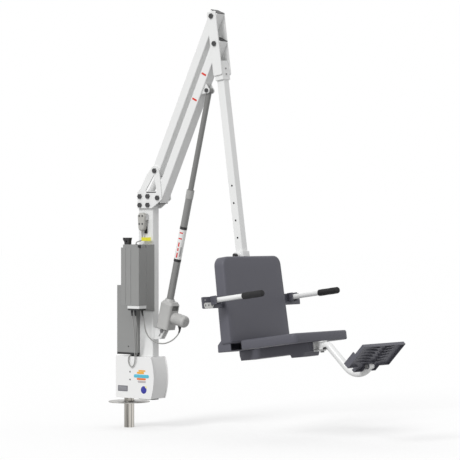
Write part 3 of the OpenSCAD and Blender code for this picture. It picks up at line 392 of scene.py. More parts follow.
def finish(name, colour, roughness, patch=12.0, clouding=0.06, grain=600.0, depth=0.15, edge=0.001,
           rubbed=None, rub=0.4, metal=0.0, bands=(), **shader_values):
    """A material of one finish. rubbed is the colour of worn edges, and bands are (spans, colour)."""
    material = bpy.data.materials.new(name)
    material.use_nodes = True
    tree = material.node_tree
    shader = tree.nodes["Principled BSDF"]
    shader.inputs["Metallic"].default_value = metal
    for socket, value in shader_values.items():
        shader.inputs[socket.replace("_", " ")].default_value = value
    tone = add_node(tree, "ShaderNodeGroup", {
        "Colour": (*colour, 1), "Roughness": roughness, "Patch Size": patch, "Amount": clouding,
    }, node_tree=tone_tree)
    colour_out = tone.outputs["Colour"]
    for spans, band_colour in bands:
        colour_out = painted(tree, within(tree, spans), colour_out, band_colour)
    if rubbed:
        wear_radius = max(edge * 1.5, 0.0015)
        wear = add_node(tree, "ShaderNodeGroup", {"Radius": wear_radius, "Amount": rub}, node_tree=wear_tree)
        colour_out = painted(tree, wear.outputs["Mask"], colour_out, rubbed)
    skin = add_node(tree, "ShaderNodeGroup", {"Grain Size": grain, "Depth": depth, "Edge Radius": edge},
                    node_tree=grain_tree)
    tree.links.new(colour_out, shader.inputs["Base Color"])
    tree.links.new(tone.outputs["Roughness"], shader.inputs["Roughness"])
    tree.links.new(skin.outputs["Normal"], shader.inputs["Normal"])
    return material


def dress(material, *nodes):
    """Gives CAD nodes a finish in place of their plain colour."""
    for node in nodes:
        for place in frame["nodes"][node].material_slots:
            place.material = material


cable_rubber = finish("cable_rubber", (0.36, 0.36, 0.35), 0.55, patch=40, clouding=0.12, grain=900,
                      depth=0.1, edge=0.0004)
gland_nylon = finish("gland_nylon", (0.018, 0.018, 0.019), 0.42, patch=60, clouding=0.2, grain=1200,
                     depth=0.12, edge=0.0006)


def relief(name, route, from_end, reach, body):
    """A tapered ribbed sleeve of soft nylon over the last stretch of a cable."""
    mouth_r, taper, groove = 6.4, 2.2, 0.7
    curve = along_route(route, 10)
    if from_end:
        curve.reverse()
    path, gone = [curve[0]], 0.0
    for here, there in zip(curve, curve[1:]):
        gone += (there - here).length
        path.append(there)
        if gone > reach:
            break
    radii = []
    for i in range(len(path)):
        t = i / (len(path) - 1)
        radii.append(mouth_r - taper * t - (groove if i % 2 else 0.0))
    piece = mesh_piece(name, *hose(path, radii, 20), gland_nylon, smooth=50)
    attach(piece, body)
    return piece


def lay_cable(name, route, diameter, bends=None):
    """A cable's sheath along its route, in place of the CAD cable."""
    path = along_route(route, 4)
    skin = hose(path, [diameter / 2] * len(path), 14)
    cable = mesh_piece(name + "_sheath", *skin, cable_rubber, smooth=60)
    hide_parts(name)
    if bends:
        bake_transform(cable)
    else:
        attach(cable, "mast")


ram_cable_d, thin_cable_d = 7, 6
ram_relief_reach, tray_relief_reach = 20, 24
ram_reliefs = [
    relief("ram_cable_relief", ram_route, False, ram_relief_reach, "actuator"),
    relief("ram_tray_relief", ram_route, True, tray_relief_reach, "mast"),
]
lay_cable("ram_cable", ram_route, ram_cable_d,
          bends=[(0.352, 0.006, 0.400), (0.185, -0.060, 0.366)])
for drive, route in (("slew", slew_route), ("brake", brake_route)):
    tray_relief = relief(drive + "_tray_relief", route, False, tray_relief_reach, "mast")
    lay_cable(drive + "_cable", route, thin_cable_d)
tag_yellow = finish("tag_yellow", (0.8, 0.76, 0.04), 0.45, patch=60, clouding=0.1, grain=900, depth=0.06,
                    edge=0.0003)
tag_outline = [(130.2, -46), (131, -49.6), (134.5, -51.4), (142, -50.4), (156, -49.2), (176, -50.2),
               (196, -48.4), (196, -47.8), (176, -49.4), (156, -48.4), (142, -45), (134.5, -41.4), (131, -43)]
tag_rings = [[Vector((x, y, z)) for x, y in tag_outline] for z in (865.5, 866, 884, 884.5)]
tag = mesh_piece("hand_cable_tag", *loft(tag_rings), tag_yellow)
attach(tag, "mast")
lay_cable("hand_cable", hand_route, thin_cable_d)


# Deck post and flange
# A stainless tube that drops into a socket in the pool deck, with a turned flange
# that rests on the deck. The flange is welded on, and both are left brushed.
def brushed_steel(name, colour, streak, roughness, dark=0.35):
    """Drawn or brushed stainless: streaks along one axis in colour, roughness and relief. Coarse streaks with
    a low dark value are painted reflection.
    """
    material = bpy.data.materials.new(name)
    material.use_nodes = True
    tree = material.node_tree
    shader = tree.nodes["Principled BSDF"]
    shader.inputs["Metallic"].default_value = 1.0
    place = add_node(tree, "ShaderNodeTexCoord")
    stretch = add_node(tree, "ShaderNodeMapping", {"Vector": place.outputs["Object"], "Scale": streak})
    lines = add_node(tree, "ShaderNodeTexNoise", {
        "Vector": stretch.outputs[0], "Scale": 1.0, "Detail": 6.0, "Roughness": 0.65,
    })
    streaks = lines.outputs["Fac"]
    tones = add_node(tree, "ShaderNodeValToRGB", {0: streaks})
    red, green, blue = colour
    tones.color_ramp.elements[0].position = 0.36
    tones.color_ramp.elements[0].color = (red * dark, green * dark * 0.98, blue * dark * 0.94, 1)
    tones.color_ramp.elements[1].position = 0.62
    tones.color_ramp.elements[1].color = (*colour, 1)
    dull = add_node(tree, "ShaderNodeMapRange", {
        "Value": streaks, "To Min": roughness - 0.08, "To Max": roughness + 0.14,
    })
    bumps = add_node(tree, "ShaderNodeBump", {"Height": streaks, "Strength": 0.12, "Distance": 0.0004})
    tree.links.new(tones.outputs[0], shader.inputs["Base Color"])
    tree.links.new(dull.outputs[0], shader.inputs["Roughness"])
    tree.links.new(bumps.outputs[0], shader.inputs["Normal"])
    return material


# The post's colour streaks are coarse vertical bands from near black to bright: painted reflection of the
# room on its chrome, laid over its brushing.
post_steel_painted_reflection = brushed_steel("post_steel_painted_reflection", (0.72, 0.69, 0.64), (62, 62, 0.8), 0.26, dark=0.1)
flange_steel = brushed_steel("flange_steel", (0.62, 0.61, 0.59), (30, 30, 400), 0.32)
bolt_metal = dict(patch=70, clouding=0.25, grain=700, depth=0.08, edge=0.0008, rub=0.5)
bolt_zinc = finish("bolt_zinc", (0.17, 0.17, 0.175), 0.36, rubbed=(0.5, 0.5, 0.5), metal=0.85, **bolt_metal)
gear_steel = finish("gear_steel", (0.3, 0.31, 0.33), 0.34, patch=50, clouding=0.2, grain=500, depth=0.08,
                    edge=0.0005, rubbed=(0.6, 0.6, 0.6), rub=0.6, metal=1.0)
dress(post_steel_painted_reflection, "anchor_post")
dress(flange_steel, "deck_flange")
dress(bolt_zinc, "post_collar")
dress(gear_steel, "slew_gear", "slew_pinion")


def weld_bead(name, path, radius, body, material, closed=False, ripple=3.0):
    """A stacked weld bead along a path in millimetres, with its even ripples."""
    fine = []
    pairs = list(zip(path, path[1:])) + ([(path[-1], path[0])] if closed else [])
    for here, there in pairs:
        steps = max(2, round((there - here).length / (ripple / 2)))
        fine += [here.lerp(there, k / steps) for k in range(steps)]
    if not closed:
        fine.append(path[-1])
    radii = [radius * (1.0 if k % 2 else 0.86) for k in range(len(fine))]
    if not closed:
        radii[0] = radii[-1] = radius * 0.5
    bead = mesh_piece(name, *hose(fine, radii, 8, closed), material, smooth=70)
    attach(bead, body)
    return bead


for where, height, weld_r, bead_r in (("top", 5.4, 28.2, 2.6), ("foot", -0.4, 28.0, 2.2)):
    weld_ring = [Vector((u, v, height)) for u, v in circle(weld_r, 48)]
    weld_bead("flange_weld_" + where, weld_ring, bead_r, "anchor", flange_steel, closed=True)


# Base frame and slewing drive
# Under the cover a hub tube turns on two plastic bushes round the deck post. Two
# welded side plates clasp the mast, and a geared motor drives the fixed gear.
white_paint = dict(colour=(0.84, 0.845, 0.84), roughness=0.34, patch=5, clouding=0.05, grain=420, depth=0.1,
                   edge=0.0012, rubbed=(0.62, 0.61, 0.58), rub=0.12)
white_coat = finish("white_coat", **white_paint, Coat_Weight=0.25, Coat_Roughness=0.12)
bush_cream = (0.72, 0.69, 0.6)
bush_plastic = finish("bush_plastic", bush_cream, 0.5, patch=30, clouding=0.1, grain=900, depth=0.1)
motor_black = finish("motor_black", (0.05, 0.05, 0.055), 0.45, patch=40, clouding=0.25, grain=300, depth=0.2,
                     edge=0.0008)
dress(white_coat, "base_frame")
dress(bush_plastic, "post_bushes")
dress(motor_black, "slew_motor")


# Base cover
# Two white sheet sides with a bowed front sheet set back between them, held to
# the frame by four screws. Its stickers are bare: stripes, two dots and a plate.
cover_near = -59.0
sticker_t, foil_t, plate_t = 0.3, 0.25, 0.8
cover_gloss = finish("cover_gloss", (0.87, 0.87, 0.865), 0.24, patch=4, clouding=0.04, grain=260, depth=0.08,
                     edge=0.0012, rubbed=(0.7, 0.69, 0.66), rub=0.1, Coat_Weight=0.5, Coat_Roughness=0.08)
dress(cover_gloss, "drive_cover")


def rounded_ring(corners, shrink=0.0, steps=6):
    """An outline through corners (u, v, radius), counter-clockwise, each rounded, moved inward by shrink."""
    ring = []
    count = len(corners)
    for i, (u, v, radius) in enumerate(corners):
        here = Vector((u, v))
        before = Vector(corners[i - 1][:2])
        after = Vector(corners[(i + 1) % count][:2])
        come, go = (here - before).normalized(), (after - here).normalized()
        turn = math.atan2(come.x * go.y - come.y * go.x, come.dot(go))
        inward = (go - come).normalized()
        centre = here + inward * (radius / math.cos(turn / 2))
        start = math.atan2(-come.x, come.y)
        inner = max(radius - shrink, 0.02)
        slide = inward * (max(shrink - radius, 0.0) / math.cos(turn / 2))
        for k in range(steps + 1):
            angle = start + turn * k / steps
            ring.append(centre + slide + inner * Vector((math.cos(angle), math.sin(angle))))
    return ring


def slab(corners, levels, place, steps=6):
    """Points and faces of a rounded slab: levels are (shrink, height), and place sets each point."""
    rings = []
    for shrink, height in levels:
        rings.append([place(p.x, p.y, height) for p in rounded_ring(corners, shrink, steps)])
    return loft(rings)


def box_corners(u0, v0, u1, v1, radius):
    """The corners of a rectangle, all of one radius."""
    return [(u0, v0, radius), (u1, v0, radius), (u1, v1, radius), (u0, v1, radius)]


def near_face(depth):
    """Places (u, v, w) on a face that looks at the camera: u along X, v up, and w out of the face."""
    return lambda u, v, w: Vector((u, depth - w, v))


def sticker(name, corners, paint, body, place, thick=sticker_t):
    """A thin flat piece on a face, sunk a little into it."""
    piece = mesh_piece(name, *slab(corners, [(0, -0.05), (0, thick * 0.7), (0.2, thick)], place), paint)
    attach(piece, body)
    return piece


stripe_colours = {
    "amber": (0.88, 0.42, 0.03),
    "orange": (0.83, 0.19, 0.02),
    "aqua": (0.09, 0.52, 0.68),
    "stone": (0.5, 0.47, 0.48),
    "blue": (0.025, 0.03, 0.33),
    "straw": (0.86, 0.8, 0.42),
}
stripe_vinyl = {
    tint: finish("vinyl_" + tint, colour, 0.28, patch=60, clouding=0.08, grain=900, depth=0.04, edge=0.0002)
    for tint, colour in stripe_colours.items()
}
cover_stripes = [
    ("stripe_top", 119, 171, 168, 180, "amber"),
    ("stripe_second", 107, 159, 159, 170, "amber"),
    ("stripe_middle", 86, 138, 193, 156, "aqua"),
    ("stripe_fourth", 107, 126.5, 171, 137, "orange"),
    ("stripe_foot", 114, 112, 171, 123.5, "stone"),
]
for stripe, left, foot, right, top, tint in cover_stripes:
    sticker(stripe, box_corners(left, foot, right, top, (top - foot) * 0.48), stripe_vinyl[tint], "mast",
            near_face(cover_near))
cover_dots = [
    ("round_dot", 156, 75, 20.6, 6, "blue", 0),
    ("round_dot_small", 172, 91, 6.5, 2, "straw", sticker_t),
]
for dot, dot_x, dot_z, dot_r, corner_r, tint, lift in cover_dots:
    sticker(dot, [(dot_x + u, dot_z + v, corner_r) for u, v in circle(dot_r, 12)], stripe_vinyl[tint], "mast",
            near_face(cover_near - lift))
plate_grey = finish("plate_grey", (0.17, 0.17, 0.19), 0.35, patch=60, clouding=0.2, grain=500, depth=0.08,
                    edge=0.0004, rubbed=(0.4, 0.4, 0.4), rub=0.5, metal=0.6)
sticker("bare_plate", box_corners(-27.6, 62, 42.2, 92.5, 3), plate_grey, "mast", near_face(cover_near),
        plate_t)
plate_face = finish("plate_face", (0.27, 0.27, 0.29), 0.42, patch=90, clouding=0.3, grain=500, depth=0.05,
                    edge=0.0003)
sticker("bare_plate_panel", box_corners(-23, 66, 37.5, 88.5, 2), plate_face, "mast",
        near_face(cover_near - plate_t), foil_t)


# Mast
# A rectangular steel tube, powder coated white, clasped by the base frame and
# closed at both ends with black push-in caps.
black_nylon = dict(roughness=0.4, patch=40, clouding=0.2, grain=700, depth=0.14, edge=0.0015)
cap_black = finish("cap_black", (0.014, 0.014, 0.015), **black_nylon)
dress(white_coat, "mast_tube")
dress(cap_black, "mast_caps")


# Slewing motor housing
# A grey moulded box behind the mast that covers the slewing motor, with a black
# rubber trim round its foot and two small screws in each side.
box_plastic = dict(grain=800, depth=0.2, edge=0.003, rubbed=(0.42, 0.42, 0.42))
housing_grey = finish("housing_grey", (0.285, 0.287, 0.283), 0.46, patch=9, clouding=0.07, rub=0.25,
                      **box_plastic)
dress(housing_grey, "slew_housing")
dress(cap_black, "housing_trim")


# Controller, its bracket and the battery tray
# The controller box hangs on a bracket off the mast's side. Its foot carries the
# white tray that the battery stands in, with black cable glands underneath.
up = (0, 0, 1)
nylon_black = (0.016, 0.016, 0.017)
top_gland = (up, 847.05, 860)
tray_strip = (up, 480, 508.9)
controller_grey = finish("controller_grey", (0.29, 0.292, 0.287), 0.5, patch=10, clouding=0.07, rub=0.2,
                         bands=[([top_gland], nylon_black)], **box_plastic)
tray_coat = finish("tray_coat", bands=[([tray_strip], nylon_black)],
                   **(white_paint | dict(roughness=0.36, patch=8, edge=0.0015)))
dress(controller_grey, "controller_box")
dress(white_coat, "controller_bracket")
dress(tray_coat, "battery_tray")


# Battery pack
# A lift-out battery in a ribbed grey case that slides down over a rail on the
# controller, with a flared black handle on its lid and a small black latch.
battery_shell = finish("battery_shell", (0.29, 0.292, 0.287), 0.46, patch=10, clouding=0.08, rub=0.25,
                       **box_plastic)
handle_black = finish("handle_black", nylon_black, 0.5, patch=60, clouding=0.25, grain=500, depth=0.25,
                      edge=0.003, rubbed=(0.06, 0.06, 0.06), rub=0.6)
dress(battery_shell, "battery_pack")
dress(handle_black, "battery_handle")


def right_face(depth):
    """Places (u, v, w) on a face that looks forward: u along Y, v up, and w out of the face."""
    return lambda u, v, w: Vector((depth + w, u, v))


latch_face = 206
latch_corners = box_corners(-152.6, 827, -137.5, 845, 2.5)
latch_levels = [(0, -9), (0, 0.6), (0.8, 1.2), (2, 1.5)]
latch = mesh_piece("battery_latch", *slab(latch_corners, latch_levels, right_face(latch_face)), handle_black)
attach(latch, "battery")


# Knee
# Two flat steel plates with a window cut through them, bolted to the mast's head,
# carry both arms on two large pivot bolts. A bare dark strip is stuck to the near one.
knee_near = -38.35
dress(white_coat, "knee_plates")
bolt_dark = finish("bolt_dark", (0.07, 0.07, 0.072), 0.3, rubbed=(0.35, 0.35, 0.35), metal=0.7, **bolt_metal)
dress(bolt_dark, "knee_pins", "mast_fasteners")
sticker("knee_strip", box_corners(157, 1120.6, 224, 1126.4, 1), cap_black, "mast", near_face(knee_near),
        foil_t)


# Lifting arms
# Two parallel rectangular tubes, powder coated white. The lower one has welded
# ears for the ram and carries two plain red marks on its near face.
knee_x, knee_z = 235.1, 1093.5
arm_angle, arm_length, arm_near = 63.9, 883, -31.75
link_lean, pivot_gap = 8, 145
end_reach = 15
both_sides = (("near", -1), ("far", 1))


def tilted(x0, z0, degrees):
    """Places (x, y, z) of a frame that leans in the XZ plane, in millimetres."""
    c, s = math.cos(math.radians(degrees)), math.sin(math.radians(degrees))
    return lambda x, y, z: Vector((x0 + x * c - z * s, y, z0 + x * s + z * c))


def heading(degrees):
    """The direction in the XZ plane that points up from X by some degrees."""
    return (math.cos(math.radians(degrees)), 0, math.sin(math.radians(degrees)))


def span(axis, origin, low, high):
    """A stretch from low to high along an axis, in millimetres from an origin."""
    foot = Vector(origin).dot(Vector(axis).normalized())
    return Vector(axis).normalized(), foot + low, foot + high


in_arm = tilted(knee_x, knee_z, arm_angle)
arm_run = heading(arm_angle)
lower_pivot = (knee_x, 0, knee_z)
upper_pivot = tilted(knee_x, knee_z, link_lean)(0, 0, pivot_gap)
dress(white_coat, "lower_arm", "upper_arm")
for fittings, pivot in (("lower_arm_fittings", lower_pivot), ("upper_arm_fittings", upper_pivot)):
    bush_span = span(arm_run, pivot, -end_reach, arm_length + end_reach)
    dress(finish(fittings, nylon_black, **black_nylon, bands=[([bush_span], bush_cream)]), fittings)
dress(bolt_dark, "clevis_pin")
ear_middle, ear_half, ear_foot, ear_seam = 641, 29, -25.9, 23.45
for which, side in both_sides:
    seam = [in_arm(ear_middle + end, side * ear_seam, ear_foot) for end in (-ear_half, ear_half)]
    weld_bead("clevis_weld_" + which, seam, 2.2, "arm_lower", white_coat)
red_vinyl = finish("red_vinyl", (0.72, 0.03, 0.012), 0.3, patch=60, clouding=0.1, grain=900, depth=0.04,
                   edge=0.0002)
mark_w, mark_h = 10, 33


def on_arm(u, v, w):
    """Places a point on the lower arm's near face: u along the arm, v across it, and w out of the face."""
    return in_arm(u, arm_near - w, v)


for mark, middle in (("red_mark_high", 711), ("red_mark_low", 568)):
    mark_corners = box_corners(middle - mark_w / 2, -mark_h / 2, middle + mark_w / 2, mark_h / 2, 2)
    sticker(mark, mark_corners, red_vinyl, "arm_lower", on_arm)


# Link and seat tube
# Two plates join the arms' far ends and clamp a sleeve, from which the square seat
# tube hangs. Its row of holes takes the lock pin of the seat.
link_x, link_z = 623.566, 1886.458
in_link = tilted(link_x, link_z, link_lean)
link_run, link_rise = heading(link_lean), heading(link_lean + 90)
link_pivot = (link_x, 0, link_z)
away = (0, 1, 0)
bolt_bright = (0.3, 0.3, 0.3)
# The walls inside the tube, seen through its holes, are painted near black: painted shade in the bore, darker
# than its bare steel.
tube_inside, bore_painted_shade = 19.2, (0.03, 0.03, 0.032)
sleeve_screws = span(link_run, link_pivot, 25.6, 40)
bore_shade_spans = [span(link_run, link_pivot, -tube_inside, tube_inside), (away, -tube_inside, tube_inside)]
dress(white_coat, "link_plates")
dress(finish("sleeve_coat", **white_paint, bands=[([sleeve_screws], bolt_bright)]), "post_sleeve")
dress(finish("tube_coat_painted_bore_shade", **white_paint, bands=[(bore_shade_spans, bore_painted_shade)]), "seat_tube")
dress(bolt_dark, "link_pins")
sleeve_seam_half, sleeve_seam, sleeve_seam_up = 23, 32.9, -167.3
for which, side in both_sides:
    seam = [in_link(end, side * sleeve_seam, sleeve_seam_up) for end in (-sleeve_seam_half, sleeve_seam_half)]
    weld_bead("sleeve_weld_" + which, seam, 2.0, "link", white_coat)


# Linear actuator
# An electric ram: a grey cast case on a foot pin, a motor drum on its side, a grey
# outer tube with a guide ring, and a thinner tube that slides out of it.
ram_x, ram_z, ram_lean = 249.1, 390, 13.856
in_ram = tilted(ram_x, ram_z, -ram_lean)
ram_foot, ram_axis = (ram_x, 0, ram_z), heading(90 - ram_lean)
ram_paint = finish("ram_paint", (0.5, 0.5, 0.49), 0.42, patch=14, clouding=0.08, grain=500, depth=0.18,
                   edge=0.003, rubbed=(0.62, 0.62, 0.6), rub=0.3)
ram_bands = [(393, 553, (0.87, 0.87, 0.86)), (378.6, 393.4, nylon_black), (552.6, 567.4, nylon_black),
             (719, 766, (0.4, 0.4, 0.39))]

# The white band's bare bars face the camera, by the cosine and sine of its 39 degrees.
facing_cos, facing_sin = 0.777, 0.629
ram_across = (facing_cos * ram_axis[2], facing_sin, -facing_cos * ram_axis[0])
ram_toward = (facing_sin * ram_axis[2], -facing_cos, -facing_sin * ram_axis[0])
label_front = span(ram_toward, ram_foot, 0, 30)
label_red, label_grey = (0.7, 0.03, 0.03), (0.42, 0.42, 0.42)
label_bars = [(401, 428, -12, -5, label_red), (437, 453, -12, -5, label_red), (460, 483, -12, -5, label_red),
              (500, 507, -16, 2, label_red), (531, 538, -16, 2, label_red), (408, 460, 3, 11, label_grey)]
sleeve_bands = [([span(ram_axis, ram_foot, low, high)], tint) for low, high, tint in ram_bands]
for low, high, left, right, tint in label_bars:
    bar_spans = [span(ram_axis, ram_foot, low, high), span(ram_across, ram_foot, left, right), label_front]
    sleeve_bands.append((bar_spans, tint))
ram_sleeve = finish("ram_sleeve", (0.26, 0.26, 0.255), 0.4, patch=12, clouding=0.08, grain=500, depth=0.1,
                    edge=0.0008, bands=sleeve_bands)
rod_grey = finish("rod_grey", (0.215, 0.215, 0.21), 0.33, patch=12, clouding=0.08, grain=600, depth=0.06,
                  edge=0.0008)
dress(white_coat, "ram_bracket")
dress(bolt_zinc, "ram_foot_pin")
dress(ram_paint, "ram_case")
dress(ram_sleeve, "ram_tube")
dress(rod_grey, "ram_rod")
bracket_x, bracket_out, bracket_low, bracket_high = 191.4, 20.9, 346, 408
for which, side in both_sides:
    seam = [Vector((bracket_x, side * bracket_out, height)) for height in (bracket_low, bracket_high)]
    weld_bead("bracket_weld_" + which, seam, 2.0, "mast", white_coat)


def turned(profile, place, sides=32):
    """Points and faces of a turned part: profile is (distance along, radius), closed at both ends."""
    return loft([[place(along, u, v) for u, v in circle(radius, sides)] for along, radius in profile])


drum_along, drum_y, drum_up = 65, 6, 81.5
drum_r, groove_r, rib_pitch = 32, 30.8, 8
drum_profile = [(0, 29), (0, 31.4), (1, drum_r)]
for rib in range(6):
    start = 4 + rib_pitch * rib
    drum_profile += [(start, drum_r), (start + 0.8, groove_r), (start + 3, groove_r), (start + 3.8, drum_r)]
drum_profile += [(54, drum_r), (57, 31.6), (62, 29), (66, 25.4), (67.6, 23), (67.8, 13), (69, 12.4), (69, 9),
                 (67.6, 8.4), (67.6, 2)]
drum = mesh_piece(
    "ram_motor_drum",
    *turned(drum_profile, lambda a, u, v: in_ram(drum_along + a, drum_y + u, drum_up + v), 48),
    ram_paint,
)
gland_x, gland_y, gland_z = ram_route[0]
nut_profile = [(0, 5.6), (0, 6.9), (0.8, 7.5), (8.2, 7.5), (9, 6.9), (9, 5)]
gland_profile = [(8.8, 7), (8.8, 9), (9.6, 9.6), (19, 9.6), (19.6, 8.8), (20.4, 8.8), (21, 9.6), (24, 9.6),
                 (26, 8)]


def in_gland(a, u, v):
    """Places a turned part where the cable leaves the ram: a up, and u and v across."""
    return Vector((gland_x + u, gland_y + v, gland_z + a))


gland_nut = mesh_piece("ram_gland_nut", *turned(nut_profile, in_gland, 6), gland_nylon)
gland_body = mesh_piece("ram_gland_body", *turned(gland_profile, in_gland, 28), gland_nylon)
for piece, ram_slot in ((drum, "ram_grey"), (gland_nut, "black_plastic"), (gland_body, "black_plastic")):
    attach(piece, "actuator")
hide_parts("ram_motor")
panel_black = finish("panel_black", (0.062, 0.063, 0.06), 0.42, patch=60, clouding=0.2, grain=700, depth=0.15,
                     edge=0.0006)
panel_face = 44.6
panel_levels = [(0, -0.4), (0, 0.5), (0.5, 0.9), (3.4, 0.9), (3.8, 0.6)]
panel = mesh_piece(
    "ram_case_panel",
    *slab(box_corners(-22, 121.4, 22, 145.6, 2), panel_levels, lambda u, v, w: in_ram(panel_face + w, u, v)),
    panel_black,
)
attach(panel, "actuator")


# Seat carriage and lock knob
# A square steel sleeve slides on the seat tube and is locked by a pull pin with a
# black knob. A rail welded to its foot carries the seat.
dress(white_coat, "seat_carriage")
dress(cap_black, "lock_knob")


# Backrest
# A rotationally moulded shell in dark grey plastic with a leathery grain, hollow at
# the back and bolted to the carriage and the armrest bar. The skirt under it is open
# at the front.
seat_plastic = dict(colour=(0.098, 0.098, 0.12), roughness=0.5, patch=7, clouding=0.1, grain=520, depth=0.3,
                    rubbed=(0.17, 0.17, 0.19), rub=0.3)
seat_grain = finish("seat_grain", **seat_plastic, edge=0.006)
back_top, back_foot, bar_z, base_top = -1114.5, -1554.5, -1342.0, -1592.0
carriage_half = 29.0
bar_slot_half, bar_slot_rear, bar_slot_front = 29.5, 28.4, 37.1


def carve(piece, *blocks):
    """Cuts closed shapes out of a piece for good, and removes them."""
    for block in blocks:
        cut = piece.modifiers.new("cut", "BOOLEAN")
        cut.operation = "DIFFERENCE"
        cut.solver = "EXACT"
        cut.object = block
        bpy.context.view_layer.update()
        carved = bpy.data.meshes.new_from_object(piece.evaluated_get(bpy.context.evaluated_depsgraph_get()))
        piece.modifiers.clear()
        piece.data = carved
        bpy.data.objects.remove(block)
    piece.data.shade_smooth()
    piece.data.set_sharp_from_angle(angle=math.radians(35))


def cut_block(corners, low, high, place):
    """A rounded block to carve with, from low to high out of the plane of its corners."""
    return mesh_piece("cutter", *slab(corners, [(0, low), (0, high)], place), seat_grain)


def in_back(y, z, x):
    """Places (y across, z up, x forward) on the seat, which leans with the link."""
    return in_link(x, y, z)


def carriage_gap(low, high):
    """A block that makes room for the carriage between two heights."""
    return cut_block(box_corners(-carriage_half, low, carriage_half, high, 1), -100, carriage_half, in_back)


back_outline = [(-250, back_foot, 12), (250, back_foot, 12), (237, back_top, 48), (-237, back_top, 48)]
back_levels = [(18, 57.6), (13, 56.6), (9.6, 53), (8.6, 46), (8, 6), (7, 3), (4.5, 2.1), (2, 2.3), (0.4, 4.5),
               (0, 8), (0, 51), (0.8, 55.5), (3, 60), (7, 63), (12.5, 64), (60, 63.6), (110, 63)]
back_shell = mesh_piece("backrest_shell", *slab(back_outline, back_levels, in_back, 10), seat_grain)
carve(
    back_shell,
    carriage_gap(back_top - 20, back_top + 20),
    carriage_gap(back_foot - 20, back_foot + 20),
    cut_block(box_corners(-300, bar_z - bar_slot_half, 300, bar_z + bar_slot_half, 1),
              bar_slot_rear, bar_slot_front, in_back),
)
skirt_front = 54
skirt_outline = [(-32, base_top, 4), (skirt_front, base_top, 4), (skirt_front, back_foot + 8, 2),
                 (2, back_foot + 28, 5), (-30, back_foot, 9)]
skirt_levels = [(4, -240), (1.2, -239), (0, -236), (0, 236), (1.2, 239), (4, 240)]
back_skirt = mesh_piece(
    "backrest_skirt",
    *slab(skirt_outline, skirt_levels, lambda x, z, y: in_link(x, y, z), 5),
    seat_grain,
)
opening_w = 200
carve(
    back_skirt,
    carriage_gap(base_top - 10, back_foot + 60),
    *[cut_block(box_corners(left, base_top + 5, left + opening_w, back_foot + 5, 2), -22, 70, in_back)
      for left in (-236, 36)],
)
for piece in (back_shell, back_skirt):
    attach(piece, "seat")
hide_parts("backrest")


# Seat pan and base
# The pan is a separate moulding in the same plastic, with drain slots. It stands on
# a narrower base that is bolted to the carriage's rail.
pan_top = -1544.0
pan_rear, pan_front, pan_half = 102.0, 452.0, 224.0
pan_levels = [(9, base_top), (3, base_top + 1), (0, base_top + 6), (0, pan_top - 9.5), (0.8, pan_top - 5.6),
              (3.6, pan_top - 2.2), (8, pan_top - 0.4), (13, pan_top), (27, pan_top - 0.5),
              (31, pan_top - 1.8), (34, pan_top - 3.6), (40, pan_top - 4.2), (110, pan_top - 5)]
pan_outline = [(pan_rear, -pan_half, 16), (pan_front, -pan_half, 30), (pan_front, pan_half, 30),
               (pan_rear, pan_half, 16)]
drain_rear, drain_front, drain_half, drain_r = 162, 382, 8, 7.9
pan = mesh_piece("seat_pan_shell", *slab(pan_outline, pan_levels, in_link, 10), seat_grain)
carve(pan, *[
    cut_block(box_corners(drain_rear, y - drain_half, drain_front, y + drain_half, drain_r),
              pan_top - 20, pan_top + 8, in_link)
    for y in (-150, -50, 50, 150)
])
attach(pan, "seat")
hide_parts("seat_pan")
dress(seat_grain, "seat_base")


# Armrests
# A flat bar across the seat's back carries two lugs. Each armrest is a white tube
# that folds up on its lug, with a black foam grip on its end.
bar_front = 36.6
head_stretch = span(link_run, link_pivot, bar_front + 0.1, bar_front + 8)
bolt_heads = [([head_stretch, (away, low, low + 30)], bolt_bright) for low in (-395, 365)]
dress(finish("bar_grain", **seat_plastic, edge=0.003, bands=bolt_heads), "armrest_bar")
pill_t = 0.8
pill_white = finish("pill_white", (0.82, 0.82, 0.8), 0.35, patch=60, clouding=0.06, grain=900, depth=0.05,
                    edge=0.0004)
pill_grey = finish("pill_grey", (0.2, 0.2, 0.2), 0.45, patch=60, clouding=0.1, grain=900, depth=0.05,
                   edge=0.0003)


def on_bar(lift):
    """Places (u, v, w) on the front face of the armrest bar, w out of the face."""
    return lambda u, v, w: in_link(bar_front + lift + w, u, v)


sticker("armrest_pill", box_corners(-391, -1370, -318, -1342, 13.5), pill_white, "seat", on_bar(0),
        pill_t)
for dot, middle in (("pill_dot_left", -380), ("pill_dot_middle", -355), ("pill_dot_right", -329)):
    sticker(dot, box_corners(middle - 4, -1361, middle + 4, -1351, 3), pill_grey, "seat", on_bar(pill_t),
            foil_t)
dress(white_coat, "left_armrest", "right_armrest")
grip_foam = finish("grip_foam", (0.008, 0.008, 0.009), 0.75, patch=50, clouding=0.3, grain=900, depth=0.6,
                   edge=0.002)
grip_start, grip_len, grip_r, dome_r = 228.6, 128.0, 17.0, 13
armrest_z, armrest_y = -1333.0, 314.0
grip_profile = [(0, 12.9), (0, 15.2), (1.2, 16.4), (3, grip_r)]
grip_profile += [(along, grip_r - 0.25 * math.cos(along / 9.0)) for along in range(8, 116, 4)]
for dome in (math.radians(9 * k) for k in range(11)):
    along, radius = dome_r * math.sin(dome), dome_r * math.cos(dome)
    grip_profile.append((grip_len - dome_r + along, grip_r - dome_r + radius))
for hand, body, side in (("right", "armrest_near", -1), ("left", "armrest_far", 1)):
    foam = mesh_piece(
        hand + "_grip_foam",
        *turned(grip_profile, lambda a, u, v: in_link(grip_start + a, side * armrest_y + u, armrest_z + v)),
        grip_foam,
    )
    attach(foam, body)
    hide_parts(hand + "_grip")


